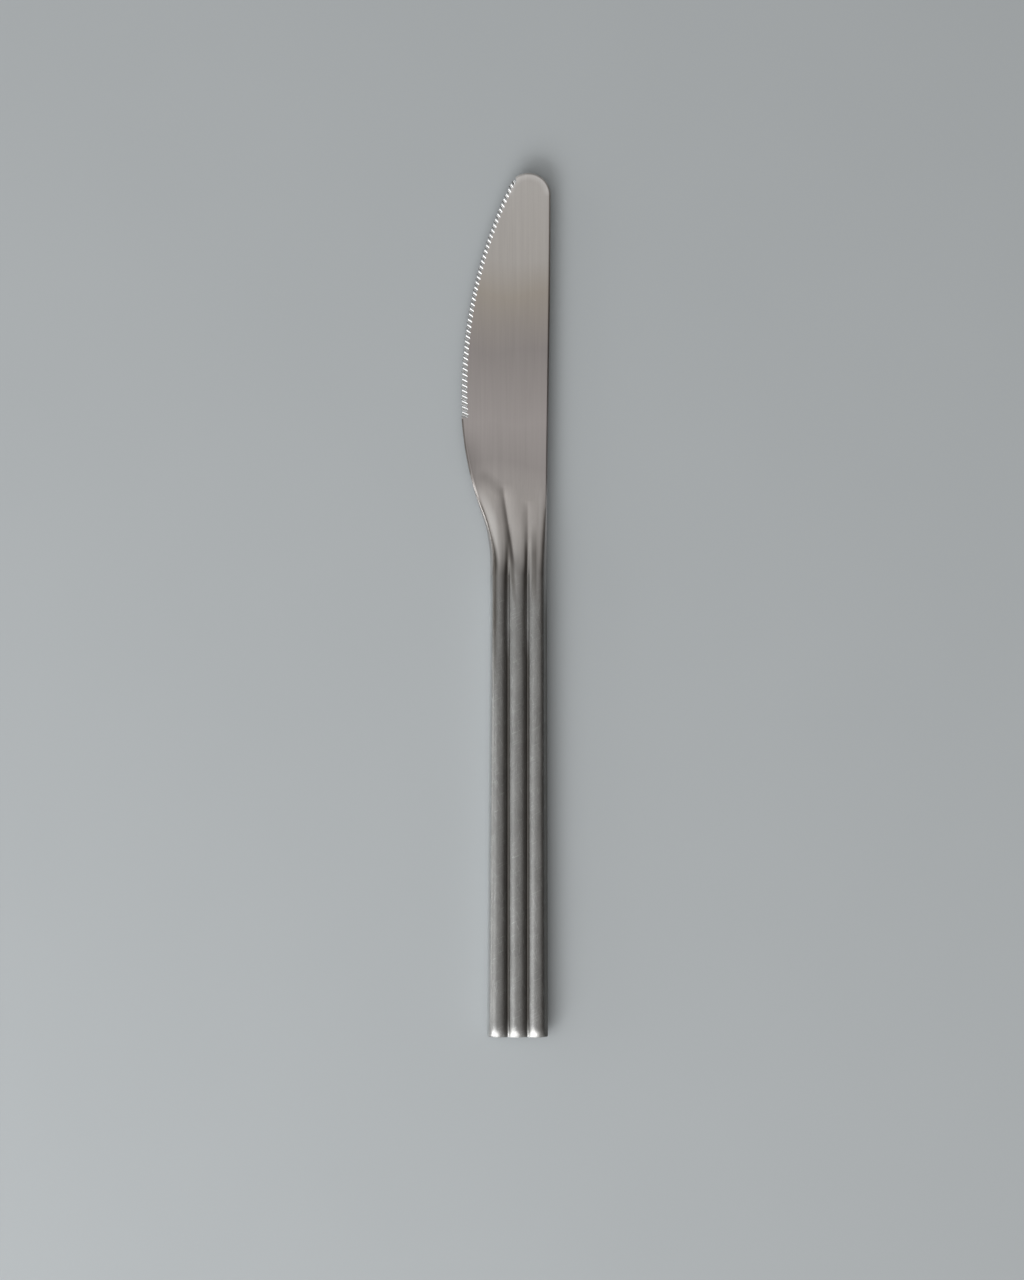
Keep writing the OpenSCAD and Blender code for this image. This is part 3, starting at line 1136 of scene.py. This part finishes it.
@dataclass(frozen=True)
class GroundSteel:
    """The finish of the freshly ground gullets: bright steel with lines across the edge."""

    name: str = "ground_gullet_steel"
    colour: Colour = (0.78, 0.78, 0.78)
    shade: Colour = (0.72, 0.72, 0.72)
    lines: Grain = Grain((1.5, 14.0, 14.0))
    line_depth: float = 0.000001
    roughness: float = 0.16
    roughness_sway: float = 0.06

    def build(self) -> bpy.types.Material:
        """Makes the material.

        Returns:
            The material.
        """
        material, graph, shader = new_material(self.name)
        lines = graph.noise(place_in_mm(graph), self.lines)
        feed(
            graph,
            shader,
            {
                "Base Color": graph.blend(lines, self.shade, self.colour),
                "Metallic": 1.0,
                "Roughness": self.roughness + (lines - 0.5) * self.roughness_sway,
                "Normal": bump(graph, lines, self.line_depth),
            },
        )
        return material


@dataclass(frozen=True)
class CastCore:
    """The finish of the cast core inside the handle: a matt, slightly mottled filler."""

    name: str = "cast_core"
    pale: Colour = (0.62, 0.58, 0.48)
    dark: Colour = (0.48, 0.44, 0.36)
    mottle: Grain = Grain((1.4, 1.4, 1.4), 4.0, 0.6)
    mottle_depth: float = 0.00003
    roughness: float = 0.7
    roughness_sway: float = 0.2

    def build(self) -> bpy.types.Material:
        """Makes the material.

        Returns:
            The material.
        """
        material, graph, shader = new_material(self.name)
        mottle = graph.noise(place_in_mm(graph), self.mottle)
        feed(
            graph,
            shader,
            {
                "Base Color": graph.blend(mottle, self.dark, self.pale),
                "Roughness": self.roughness + (mottle - 0.5) * self.roughness_sway,
                "Normal": bump(graph, mottle, self.mottle_depth),
            },
        )
        return material


@dataclass(frozen=True)
class FloorPaint:
    """The floor's finish: plain, pale and matt."""

    name: str = "pale_floor"
    pale: Colour = (0.53, 0.565, 0.585)
    dark: Colour = (0.51, 0.545, 0.565)
    soft: Grain = Grain((0.02, 0.02, 0.02))
    roughness: float = 0.8

    def build(self) -> bpy.types.Material:
        """Makes the material.

        Returns:
            The material.
        """
        material, graph, shader = new_material(self.name)
        soft = graph.noise(place_in_mm(graph), self.soft)
        tone = graph.blend(soft, self.dark, self.pale)
        feed(graph, shader, {"Base Color": tone, "Roughness": self.roughness})
        return material


# Meshes


def mesh_object(name: str, points: Array, faces: Sequence[Sequence[int]]) -> bpy.types.Object:
    """Makes an object from points in millimetres, with its faces turned outwards.

    Args:
        name: Name of the object.
        points: Points, one row each.
        faces: Point numbers of each face.

    Returns:
        The object, still in millimetres.
    """
    mesh = bpy.data.meshes.new(name)
    mesh.from_pydata([tuple(p) for p in points], [], [list(f) for f in faces])
    work = bmesh.new()
    work.from_mesh(mesh)
    bmesh.ops.remove_doubles(work, verts=work.verts, dist=SAME_POINT)
    bmesh.ops.recalc_face_normals(work, faces=work.faces)
    work.to_mesh(mesh)
    work.free()
    piece = bpy.data.objects.new(name, mesh)
    bpy.context.scene.collection.objects.link(piece)
    return piece


def finish_mesh(piece: bpy.types.Object, sharp_angle: float) -> None:
    """Brings a mesh from millimetres to metres and shades it smooth.

    Args:
        piece: Object of the mesh.
        sharp_angle: Angle in degrees past which an edge stays sharp.
    """
    piece.data.transform(Matrix.Scale(MM, 4))
    piece.data.shade_smooth()
    piece.data.set_sharp_from_angle(angle=math.radians(sharp_angle))
    piece.data.update()


def strip(first: Sequence[int], second: Sequence[int]) -> list[list[int]]:
    """Quads between two lines of equally many points."""
    return [[first[k], first[k + 1], second[k + 1], second[k]] for k in range(len(first) - 1)]


# The pieces


@dataclass(frozen=True)
class Flute:
    """A shallow hollow that carries a groove on and ends softly in the flat, in millimetres."""

    start_x: float
    drift: float
    depth: float
    left_w: float
    right_w: float
    end_share: float
    rise_share: float = 0.3
    nose: float = 8.0
    bottom_r: float = 0.2

    def middle(self, along: Array) -> Array:
        """Place across the knife of the hollow's bottom line."""
        return self.start_x + self.drift * along

    def relief(self, x: Array, along: Array) -> Array:
        """Depth of the hollow.

        Args:
            x: Places across the knife.
            along: Shares of the run-out, of the same shape.

        Returns:
            The depths below the neck's body.
        """
        off = x - self.middle(along)
        far = np.sqrt(off * off + self.bottom_r**2) - self.bottom_r
        side = np.maximum(1 - far / np.where(off < 0, self.left_w, self.right_w), 0.0)
        left = np.maximum(1 - (along / self.end_share) ** self.nose, 0.0)
        return self.depth * side * side * ease(along / self.rise_share) * left


@dataclass
class Blade:
    """The forging: blade with its serrated edge, neck, spigot and tang."""

    form: KnifeForm
    # Steps of the mesh, the last rows' distances from the tip, and the angle that stays sharp
    arc_steps: int = 14
    neck_steps: int = 72
    heel_steps: int = 24
    belly_steps: int = 44
    tip_steps: int = 20
    last_rows: Pair = (0.008, 0.002)
    side_steps: int = 9
    sharp_angle: float = 24.0
    # The eased corners along the edge side and the spine, which are wider at the heel
    side_w: float = 0.45
    side_share: float = 0.55
    spine_share: float = 0.4
    spine_bend: float = 1.2
    heel_side_w: float = 0.8
    heel_side_share: float = 0.62
    heel_side_back: float = 4.0
    heel_side_fade: float = 8.0
    # Room for the columns of the mesh beside the corners
    guard_w: float = 0.12
    column_gap: float = 0.2
    narrow_w: float = 6.0
    # The soft fall round the tip
    tip_fall: float = 0.07
    tip_fall_w: float = 3.2
    tip_fall_rise: float = 1.6
    # The gullets, the path's points to a gullet, and the wheel that grinds them
    path_points: int = 4
    gullet_r: float = 0.9
    gullet_bite: float = 0.25
    gullet_slant: float = 27.0
    wheel_sides: int = 72
    wheel_w: float = 9.0
    heel_reach: float = 1.7
    tip_reach: float = 1.2
    # The spigot and the tang
    spigot_inset: float = 0.75
    spigot_len: float = 4.0
    tang_len: float = 52.0
    tang_r: float = 1.3
    tang_nose: float = 0.5
    tang_nose_share: float = 0.62
    # The bead along the heel, the lean of the heel's flank and the two flutes
    bead: float = 0.1
    bead_w: float = 1.0
    bead_rise_w: float = 0.4
    bead_from: float = 14.0
    bead_to: float = 38.0
    bead_fade: float = 8.0
    lean: float = 0.014
    lean_start: float = 0.3
    lean_stop: float = 0.6
    lean_end: float = 0.95
    flutes: tuple[Flute, ...] = (
        Flute(
            start_x=2.75,
            drift=-3.9,
            depth=0.54,
            left_w=1.8,
            right_w=3.2,
            end_share=0.9,
            rise_share=0.24,
        ),
        Flute(start_x=5.75, drift=-0.2, depth=0.3, left_w=1.6, right_w=2.2, end_share=0.74),
    )

    def rows(self) -> list[float]:
        """Sections in front of the handle's mouth.

        Returns:
            Their places along the knife.
        """
        form = self.form
        tip_y = form.tip_centre[1]
        neck = np.linspace(form.mouth_y, form.runout_y, self.neck_steps + 1)
        heel = np.linspace(form.runout_y, form.belly_y, self.heel_steps + 1)[1:]
        belly = np.linspace(form.belly_y, tip_y, self.belly_steps + 1)[1:]
        turns = np.linspace(0.0, 1.0, self.tip_steps + 1)[1:-1] * math.pi / 2
        round_tip = tip_y + form.tip_r * np.sin(turns)
        last = form.tip_y - np.array(self.last_rows)
        return list(neck) + list(heel) + list(belly) + list(round_tip) + list(last)

    def side_offsets(self) -> Array:
        """Distances from the outline of the columns that draw the eased corners."""
        turns = np.linspace(0.0, 1.0, self.side_steps + 1) * math.pi / 2
        return np.append(self.heel_side_w * (1 - np.cos(turns)), self.heel_side_w + self.guard_w)

    def columns(self, y: float, shares: Array) -> Array:
        """Places across the knife of one section's points.

        Args:
            y: Place along the knife.
            shares: Shares of the width that the inner columns keep in front of the ribs.

        Returns:
            The places, from the edge side to the spine side.
        """
        form = self.form
        row = np.array([y])
        edge, spine = float(form.edge_at(row)[0]), float(form.spine_at(row)[0])
        offsets = self.side_offsets() * min(1.0, (spine - edge) / self.narrow_w)
        ribs = form.rib_columns(min(y, form.runout_y), self.arc_steps)
        inner = edge + offsets[-1] + (spine - edge - 2 * offsets[-1]) * shares
        flat = np.concatenate([edge + offsets, inner, (spine - offsets)[::-1]])
        return mix(ribs, flat, float(ease((y - form.mouth_y) / form.runout_len)))

    def inner_shares(self) -> Array:
        """Inner columns in front of the ribs, which carry on from the ribs' own.

        Returns:
            Their places, as shares of the width between the eased corners.
        """
        form = self.form
        ribs = form.rib_columns(form.runout_y, self.arc_steps)
        count = len(self.side_offsets())
        row = np.array([form.runout_y])
        edge, spine = float(form.edge_at(row)[0]), float(form.spine_at(row)[0])
        low, high = edge + self.side_offsets()[-1], spine - self.side_offsets()[-1]
        inner = ribs[count:-count]
        first, last = max(inner[0], low + self.column_gap), min(inner[-1], high - self.column_gap)
        inner = first + (inner - inner[0]) / (inner[-1] - inner[0]) * (last - first)
        return (inner - low) / (high - low)

    def corner_fall(self, x: Array, y: Array) -> tuple[Array, Array]:
        """Eased corners of the blade, and the small bead inside them along the heel.

        Args:
            x: Places across the knife.
            y: Places along the knife, of the same shape.

        Returns:
            Share of the half thickness that the corners take, and share of the bead's height.
        """
        form = self.form
        from_edge, from_spine = form.outline_distance(x, y)
        heel = 1 - ease((y - form.runout_y + self.heel_side_back) / self.heel_side_fade)
        edge_w = mix(self.side_w, self.heel_side_w, heel)
        edge_share = mix(self.side_share, self.heel_side_share, heel)
        edge_in = np.clip(1 - from_edge / edge_w, 0.0, 1.0)
        spine_in = np.clip(1 - from_spine / self.side_w, 0.0, 1.0)
        fall = edge_share * (1 - np.sqrt(1 - edge_in * edge_in))
        fall = np.maximum(fall, self.spine_share * spine_in**self.spine_bend)
        bead = ease((self.bead_w - from_edge) / self.bead_rise_w)
        bead = bead * ease((y - self.bead_from) / self.bead_fade)
        return fall, bead * (1 - ease((y - self.bead_to) / self.bead_fade))

    def height(self, x: Array, y: Array) -> Array:
        """Height of the forging's skin over the middle plane: a body that thins, less its hollows.

        Args:
            x: Places across the knife.
            y: Places along the knife, of the same shape.

        Returns:
            The heights.
        """
        form = self.form
        fall, bead = self.corner_fall(x, y)
        tip_x, tip_y = form.tip_centre
        from_tip = form.tip_r - np.hypot(x - tip_x, y - tip_y)
        near_tip = np.clip(1 - from_tip / self.tip_fall_w, 0.0, 1.0)
        near_tip = near_tip * ease((y - tip_y) / form.tip_r * self.tip_fall_rise)
        flat = (form.half_at(x, y) + self.bead * bead) * (1 - fall)
        flat = flat - self.tip_fall * near_tip * near_tip
        along = np.clip((y - form.mouth_y) / form.runout_len, 0.0, 1.0)
        crest, ribs = form.crests(y), form.rib_height(x, y)
        full = np.where((x > crest[0]) & (x < crest[2]), form.mid_z, ribs)
        body = mix(full, flat, ease(along)) - (full - ribs) * form.groove_share(along)
        ridge = np.maximum(self.flutes[0].middle(along) - self.flutes[0].left_w - x, 0.0)
        released = ease((along - self.lean_stop) / (self.lean_end - self.lean_stop))
        held = ease(along / self.lean_start) * (1 - released)
        hollows = sum(flute.relief(x, along) for flute in self.flutes)
        return body - self.lean * ridge * ridge * held - hollows

    def ring_of(self, x: Array, y: float, z: Array) -> Array:
        """A closed ring of points from the upper half of a section.

        Args:
            x: Places across the knife.
            y: Place along the knife.
            z: Heights over the middle plane.

        Returns:
            The points, over the upper side and back under the lower one.
        """
        mid = self.form.mid_z
        upper = np.stack([x, np.full_like(x, y), mid + z], axis=1)
        lower = np.stack([x, np.full_like(x, y), mid - z], axis=1)[::-1]
        return np.concatenate([upper, lower])

    def rings(self) -> list[Array]:
        """Rings of the whole forging.

        Returns:
            The rings, from the tang's end to the tip.
        """
        form = self.form
        count = len(form.rib_columns(form.mouth_y, self.arc_steps))
        turn = math.pi * (np.arange(count) + 0.5) / count
        centre_x = form.mouth_spine_x - form.rib_inset
        spigot_y = form.mouth_y - self.spigot_len
        tang = (
            (self.tang_len, self.tang_nose_share),
            (self.tang_len - self.tang_nose, 1.0),
            (0.0, 1.0),
        )
        rings = []
        for back, share in tang:
            radius = self.tang_r * share
            x, z = centre_x - radius * np.cos(turn), radius * np.sin(turn)
            rings.append(self.ring_of(x, spigot_y - back, z))
        for y in (spigot_y, form.mouth_y):
            x = form.rib_columns(y, self.arc_steps, self.spigot_inset)
            z = form.rib_height(x, np.full_like(x, y), self.spigot_inset)
            rings.append(self.ring_of(x, y, z))
        shares = self.inner_shares()
        for y in self.rows():
            x = self.columns(y, shares)
            rings.append(self.ring_of(x, y, self.height(x, np.full_like(x, y))))
        return rings

    def blank(self) -> bpy.types.Object:
        """The forging before its teeth are ground.

        Returns:
            Its object, in millimetres.
        """
        rings = self.rings()
        size = len(rings[0])
        faces = []
        for i in range(len(rings) - 1):
            here = [i * size + k for k in range(size)] + [i * size]
            faces += strip(here, [k + size for k in here])
        for start in (0, (len(rings) - 1) * size):
            upper = [start + k for k in range(size // 2)]
            lower = [start + size - 1 - k for k in range(size // 2)]
            faces += strip(upper, lower)
        return mesh_object("knife_blade", np.concatenate(rings), faces)

    def edge_path(self) -> bpy.types.Object:
        """A curve along the edge that the gullets are spread over.

        Returns:
            Its object, from the middle of the first gullet to the middle of the last.
        """
        form = self.form
        first = form.tooth_pitch / 2 - form.serration_back
        last = first + (form.teeth - 1) * form.tooth_pitch
        curve = bpy.data.curves.new("edge_path", "CURVE")
        curve.dimensions = "3D"
        stations = np.linspace(first, last, self.path_points * form.teeth)
        spline = curve.splines.new("POLY")
        spline.points.add(len(stations) - 1)
        for point, station in zip(spline.points, stations):
            point.co = (*form.edge_point(float(station)), form.mid_z, 1.0)
        path = bpy.data.objects.new("edge_path", curve)
        bpy.context.scene.collection.objects.link(path)
        return path

    def grinding_tree(self) -> tuple[bpy.types.NodeTree, dict[str, str]]:
        """Builds the tree that grinds a row of slanting gullets along a path into a blade.

        Returns:
            The tree, and the identifiers of its inputs by name.
        """
        tree = bpy.data.node_groups.new("gullet_row", "GeometryNodeTree")
        kinds = {
            "Blade": "NodeSocketGeometry",
            "Edge path": "NodeSocketObject",
            "Gullets": "NodeSocketInt",
            "Wheel radius": "NodeSocketFloat",
            "Wheel width": "NodeSocketFloat",
            "Wheel sides": "NodeSocketInt",
            "Bite": "NodeSocketFloat",
            "Slant": "NodeSocketFloat",
            "Heel reach": "NodeSocketFloat",
            "Tip reach": "NodeSocketFloat",
            "Heel half thickness": "NodeSocketFloat",
            "Tip half thickness": "NodeSocketFloat",
            "Blade steel": "NodeSocketMaterial",
            "Gullet steel": "NodeSocketMaterial",
        }
        names = {
            name: tree.interface.new_socket(name=name, in_out="INPUT", socket_type=kind).identifier
            for name, kind in kinds.items()
        }
        tree.interface.new_socket(
            name="Ground blade", in_out="OUTPUT", socket_type="NodeSocketGeometry"
        )
        graph = Graph(tree)
        source = graph.place("NodeGroupInput", {}, {})
        given = {name: Link(graph, source.outputs[name]) for name in kinds}
        path = graph.node("GeometryNodeObjectInfo", {}, {"Object": given["Edge path"]}, "Geometry")
        stations = graph.place(
            "GeometryNodeCurveToPoints",
            {"mode": "COUNT"},
            {"Curve": path, "Count": given["Gullets"]},
        )
        tangent = Link(graph, stations.outputs["Tangent"])
        index = graph.node("GeometryNodeInputIndex", {}, {})
        share = index / (given["Gullets"] - 1.0)
        reach = mix(given["Heel reach"], given["Tip reach"], share)
        half = mix(given["Heel half thickness"], given["Tip half thickness"], share)
        climb = 2.0 * half / (reach - given["Bite"])
        forward_x, forward_y, _ = graph.parts(tangent)
        inward = graph.join(forward_y, 0.0 - forward_x, 0.0)
        slanted = graph.vector("SUBTRACT", inward, graph.vector("SCALE", tangent, given["Slant"]))
        axis = graph.vector("ADD", slanted, graph.join(0.0, 0.0, climb))
        share_up = climb / graph.number_of("DOT_PRODUCT", axis, axis)
        normal = graph.vector("SUBTRACT", (0.0, 0.0, 1.0), graph.vector("SCALE", axis, share_up))
        normal = graph.vector("SCALE", graph.vector("NORMALIZE", normal), given["Wheel radius"])
        foot = graph.vector("SCALE", slanted, given["Bite"])
        foot = graph.vector("ADD", foot, graph.join(0.0, 0.0, 0.0 - half))
        turn = graph.node("FunctionNodeAlignRotationToVector", {"axis": "Z"}, {"Vector": axis})
        wheel = graph.node(
            "GeometryNodeMeshCylinder",
            {"fill_type": "NGON"},
            {
                "Vertices": given["Wheel sides"],
                "Radius": given["Wheel radius"],
                "Depth": given["Wheel width"],
            },
        )
        wheel = graph.node(
            "GeometryNodeSetMaterial", {}, {"Geometry": wheel, "Material": given["Gullet steel"]}
        )
        moved = graph.node(
            "GeometryNodeSetPosition",
            {},
            {
                "Geometry": Link(graph, stations.outputs["Points"]),
                "Offset": graph.vector("ADD", foot, normal),
            },
        )
        wheels = graph.node(
            "GeometryNodeInstanceOnPoints",
            {},
            {"Points": moved, "Instance": wheel, "Rotation": turn},
        )
        ground = graph.node(
            "GeometryNodeMeshBoolean",
            {"operation": "DIFFERENCE", "solver": "MANIFOLD"},
            {0: given["Blade"], 1: wheels},
        )
        real = graph.node("GeometryNodeRealizeInstances", {}, {"Geometry": ground})
        is_gullet = graph.node(
            "GeometryNodeMaterialSelection", {}, {"Material": given["Gullet steel"]}
        )
        rest = graph.node("FunctionNodeBooleanMath", {"operation": "NOT"}, {0: is_gullet})
        dressed = graph.node(
            "GeometryNodeSetMaterial",
            {},
            {"Geometry": real, "Selection": rest, "Material": given["Blade steel"]},
        )
        graph.place("NodeGroupOutput", {}, {0: dressed})
        return tree, names

    def grind(
        self, blade: bpy.types.Object, steel: bpy.types.Material, bright: bpy.types.Material
    ) -> None:
        """Grinds the teeth into the blade and leaves a plain mesh.

        Args:
            blade: The forging, in millimetres.
            steel: Material of the forging.
            bright: Material of the gullets.
        """
        form = self.form
        path = self.edge_path()
        tree, names = self.grinding_tree()
        ends = [
            form.edge_point(form.tooth_pitch / 2 - form.serration_back),
            form.edge_point((form.teeth - 0.5) * form.tooth_pitch - form.serration_back),
        ]
        halves = [float(form.half_at(np.array(x), np.array(y))) for x, y in ends]
        modifier = blade.modifiers.new("grind", "NODES")
        modifier.node_group = tree
        values = {
            "Edge path": path,
            "Gullets": form.teeth,
            "Wheel radius": self.gullet_r,
            "Wheel width": self.wheel_w,
            "Wheel sides": self.wheel_sides,
            "Bite": self.gullet_bite,
            "Slant": math.tan(math.radians(self.gullet_slant)),
            "Heel reach": self.heel_reach,
            "Tip reach": self.tip_reach,
            "Heel half thickness": halves[0],
            "Tip half thickness": halves[1],
            "Blade steel": steel,
            "Gullet steel": bright,
        }
        for name, value in values.items():
            modifier[names[name]] = value
        graph = bpy.context.evaluated_depsgraph_get()
        mesh = bpy.data.meshes.new_from_object(blade.evaluated_get(graph), depsgraph=graph)
        blade.modifiers.remove(modifier)
        blade.data = mesh
        bpy.data.objects.remove(path)

    def build(self, steel: bpy.types.Material, bright: bpy.types.Material) -> bpy.types.Object:
        """Makes the whole forging, dressed and in place.

        Args:
            steel: Material of the forging.
            bright: Material of the gullets.

        Returns:
            The finished piece.
        """
        blade = self.blank()
        self.grind(blade, steel, bright)
        finish_mesh(blade, self.sharp_angle)
        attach(blade, ROOT_BODY)
        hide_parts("blade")
        return blade


@dataclass
class HandleHalf:
    """One pressed half of the hollow handle, open at the mouth and closed at the butt."""

    form: KnifeForm
    side: Side
    arc_steps: int = 14
    round_steps: int = 16
    long_steps: int = 24
    butt_ease: float = 3.2
    butt_ease_share: float = 0.42
    butt_bulge: float = 0.1
    end_wall: float = 3.4
    wall: float = 0.7
    sharp_angle: float = 40.0

    def outer_row(self, y: float, scale: float, bulge_share: float) -> Array:
        """One line of points over the outside, from seam to seam.

        Args:
            y: Place along the handle.
            scale: Share of the full height that is left at the rounded butt.
            bulge_share: Share of the ribs' bulge at the butt.

        Returns:
            The points.
        """
        form = self.form
        x = form.rib_columns(y, self.arc_steps)
        z = form.rib_height(x, np.full_like(x, y)) * scale
        low = form.groove_t / 2
        lift = np.clip((z / scale - low) / (form.mid_z - low), 0.0, 1.0)
        back = self.butt_bulge * bulge_share * (1 - np.sqrt(lift))
        points = np.stack([x, y + back, form.mid_z + z], axis=1)
        ends = points[[0, -1]] * (1, 1, 0) + (0, 0, form.mid_z)
        return np.concatenate([ends[:1], points, ends[1:]])

    def inner_row(self, y: float) -> Array:
        """One line of points over the inside, from seam to seam.

        Args:
            y: Place along the handle.

        Returns:
            The points.
        """
        form = self.form
        x = form.rib_columns(y, self.arc_steps, self.wall)
        z = form.rib_height(x, np.full_like(x, y), self.wall)
        points = np.stack([x, np.full_like(x, y), form.mid_z + z], axis=1)
        ends = points[[0, -1]] * (1, 1, 0) + (0, 0, form.mid_z)
        return np.concatenate([ends[:1], points, ends[1:]])

    def build(self, steel: bpy.types.Material) -> bpy.types.Object:
        """Makes the pressed half, dressed and in place.

        Args:
            steel: Material of the handle.

        Returns:
            The finished piece.
        """
        form = self.form
        rows = []
        for left in np.linspace(1.0, 0.0, self.round_steps + 1):
            y, round_share = form.butt_y + self.butt_ease * (1 - left), left**2
            rows.append(self.outer_row(y, 1 - self.butt_ease_share * round_share, round_share))
        core_y = form.butt_y + self.end_wall
        long_y = np.linspace(core_y, form.mouth_y, self.long_steps + 1)
        core_row = len(rows)
        rows += [self.outer_row(float(y), 1.0, 0.0) for y in long_y]
        inside = [self.inner_row(float(y)) for y in long_y]
        width = len(rows[0])
        points = np.concatenate(rows + inside)
        first_in = len(rows) * width

        def outer(row: int) -> list[int]:
            """Point numbers of an outside line."""
            return [row * width + k for k in range(width)]

        def inner(row: int) -> list[int]:
            """Point numbers of an inside line, counted from the outside's first row."""
            return [first_in + (row - core_row) * width + k for k in range(width)]

        faces = [face for r in range(len(rows) - 1) for face in strip(outer(r), outer(r + 1))]
        for r in range(core_row, len(rows) - 1):
            faces += strip(inner(r + 1), inner(r))
            for end in (0, width - 1):
                faces.append([outer(r)[end], outer(r + 1)[end], inner(r + 1)[end], inner(r)[end]])
        last = len(rows) - 1
        faces += strip(outer(last), inner(last))
        faces.append(inner(core_row))
        faces.append(outer(0))
        left = [outer(r)[0] for r in range(core_row + 1)]
        right = [outer(r)[-1] for r in range(core_row, -1, -1)]
        faces.append(left + [inner(core_row)[0], inner(core_row)[-1]] + right)
        if self.side is Side.BACK:
            points = points * (1, 1, -1) + (0, 0, form.handle_t)
        shell = mesh_object(f"handle_{self.side.value}", points, faces)
        finish_mesh(shell, self.sharp_angle)
        shell.data.materials.append(steel)
        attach(shell, ROOT_BODY)
        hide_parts(f"handle_{self.side.value}_shell")
        return shell


# The studio


@dataclass(frozen=True)
class SoftLamp:
    """A rectangular light in metres: its middle, the point it faces, its size and its radiance."""

    name: str
    place: Triple
    aim: Triple
    size: Pair
    glow: float

    def hang(self) -> None:
        """Hangs the light in the scene."""
        data = bpy.data.lights.new(self.name, "AREA")
        data.shape = "RECTANGLE"
        data.size, data.size_y = self.size
        data.energy = math.pi * self.size[0] * self.size[1] * self.glow
        lamp = bpy.data.objects.new(self.name, data)
        lamp.location = self.place
        lamp.rotation_mode = "QUATERNION"
        lamp.rotation_quaternion = (Vector(self.place) - Vector(self.aim)).to_track_quat("Z", "Y")
        bpy.context.scene.collection.objects.link(lamp)


@dataclass(frozen=True)
class Studio:
    """The pale floor, the soft lights and the camera straight above the knife, in metres."""

    # The middle of the photograph's frame, and the camera over it
    view_x: float = 0.00162
    view_y: float = -0.00891
    view_z: float = 0.00275
    view_long: float = 0.3259
    camera_height: float = 1.6
    sensor: float = 36.0
    clip_start: float = 0.05
    clip_end: float = 10.0
    # The floor, the sky's tones from the edge side to the spine side, and its dimming past the tip
    floor_half: float = 3.0
    floor_drop: float = 0.00002
    sky_tones: Stops = (
        (0.0, (0.24, 0.24, 0.23)),
        (0.06, (0.36, 0.36, 0.35)),
        (0.13, (0.58, 0.58, 0.57)),
        (0.24, (0.72, 0.72, 0.71)),
        (0.38, (0.62, 0.61, 0.60)),
        (0.50, (0.55, 0.54, 0.53)),
        (0.65, (0.48, 0.47, 0.46)),
        (0.78, (0.36, 0.35, 0.34)),
        (0.88, (0.13, 0.12, 0.11)),
        (0.95, (0.05, 0.045, 0.04)),
        (1.0, (0.04, 0.036, 0.032)),
    )
    dim_from: float = 0.15
    dim_w: float = 0.7
    dim_share: float = 0.7
    lamps: tuple[SoftLamp, ...] = (
        SoftLamp("window", (-0.56, -1.24, 0.66), (0.0, 0.0, 0.0), (1.3, 0.62), 5.0),
        SoftLamp("side_panel", (-0.36, -0.28, 0.36), (0.0, -0.1, 0.0), (0.38, 0.32), 1.25),
        SoftLamp("low_strip", (-0.9, 0.12, 0.16), (0.0, 0.05, 0.0), (1.0, 0.22), 2.2),
        SoftLamp("tip_strip", (-0.52, 0.92, 0.24), (0.0, 0.09, 0.0), (0.2, 0.22), 1.7),
    )

    def camera(self) -> None:
        """Sets the camera straight above, so that view_long fills the frame's height."""
        data = bpy.data.cameras.new("camera")
        data.sensor_width = self.sensor
        data.lens = self.sensor * self.camera_height / self.view_long
        data.clip_start, data.clip_end = self.clip_start, self.clip_end
        camera = bpy.data.objects.new("camera", data)
        camera.location = (self.view_x, self.view_y, self.view_z + self.camera_height)
        bpy.context.scene.collection.objects.link(camera)
        bpy.context.scene.camera = camera

    def floor(self, paint: bpy.types.Material) -> None:
        """Lays the floor just under the knife.

        Args:
            paint: Material of the floor.
        """
        half = self.floor_half
        corners = [(-half, -half), (half, -half), (half, half), (-half, half)]
        mesh = bpy.data.meshes.new("floor")
        mesh.from_pydata([(x, y, -self.floor_drop) for x, y in corners], [], [(0, 1, 2, 3)])
        mesh.materials.append(paint)
        floor = bpy.data.objects.new("floor", mesh)
        bpy.context.scene.collection.objects.link(floor)

    def sky(self) -> None:
        """Fills the room with an even light that is darker on the spine side and beyond the tip."""
        world = bpy.data.worlds.new("room")
        bpy.context.scene.world = world
        world.use_nodes = True
        world.node_tree.nodes.clear()
        graph = Graph(world.node_tree)
        x, y, _ = graph.parts(graph.node("ShaderNodeTexCoord", {}, {}, "Generated"))
        tone = graph.node("ShaderNodeValToRGB", {"stops": self.sky_tones}, {"Fac": x * 0.5 + 0.5})
        strength = 1.0 - y.above(self.dim_from, self.dim_w) * self.dim_share
        back = graph.node("ShaderNodeBackground", {}, {"Color": tone, "Strength": strength})
        graph.place("ShaderNodeOutputWorld", {}, {"Surface": back})

    def build(self, paint: bpy.types.Material) -> None:
        """Sets up the whole studio.

        Args:
            paint: Material of the floor.
        """
        self.camera()
        self.floor(paint)
        self.sky()
        for lamp in self.lamps:
            lamp.hang()
        bpy.context.scene.view_settings.view_transform = "Standard"


def dress_core(paint: bpy.types.Material) -> None:
    """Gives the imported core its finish.

    Args:
        paint: Material of the core.
    """
    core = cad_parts["handle_filler"]
    core.data.materials.clear()
    core.data.materials.append(paint)


def main() -> None:
    """Builds the knife and its studio, piece by piece."""
    logging.basicConfig(level=logging.INFO, format="%(name)s: %(message)s")
    form = KnifeForm()
    steel, handle_steel = BrushedSteel(form).build(), ScuffedSteel(form).build()
    blade = Blade(form).build(steel, GroundSteel().build())
    LOG.info("%s: %d faces, %d gullets", blade.name, len(blade.data.polygons), form.teeth)
    for side in Side:
        shell = HandleHalf(form, side).build(handle_steel)
        LOG.info("%s: %d faces", shell.name, len(shell.data.polygons))
    dress_core(CastCore().build())
    LOG.info("handle_filler: dressed")
    Studio().build(FloorPaint().build())


if __name__ == "__main__":
    main()
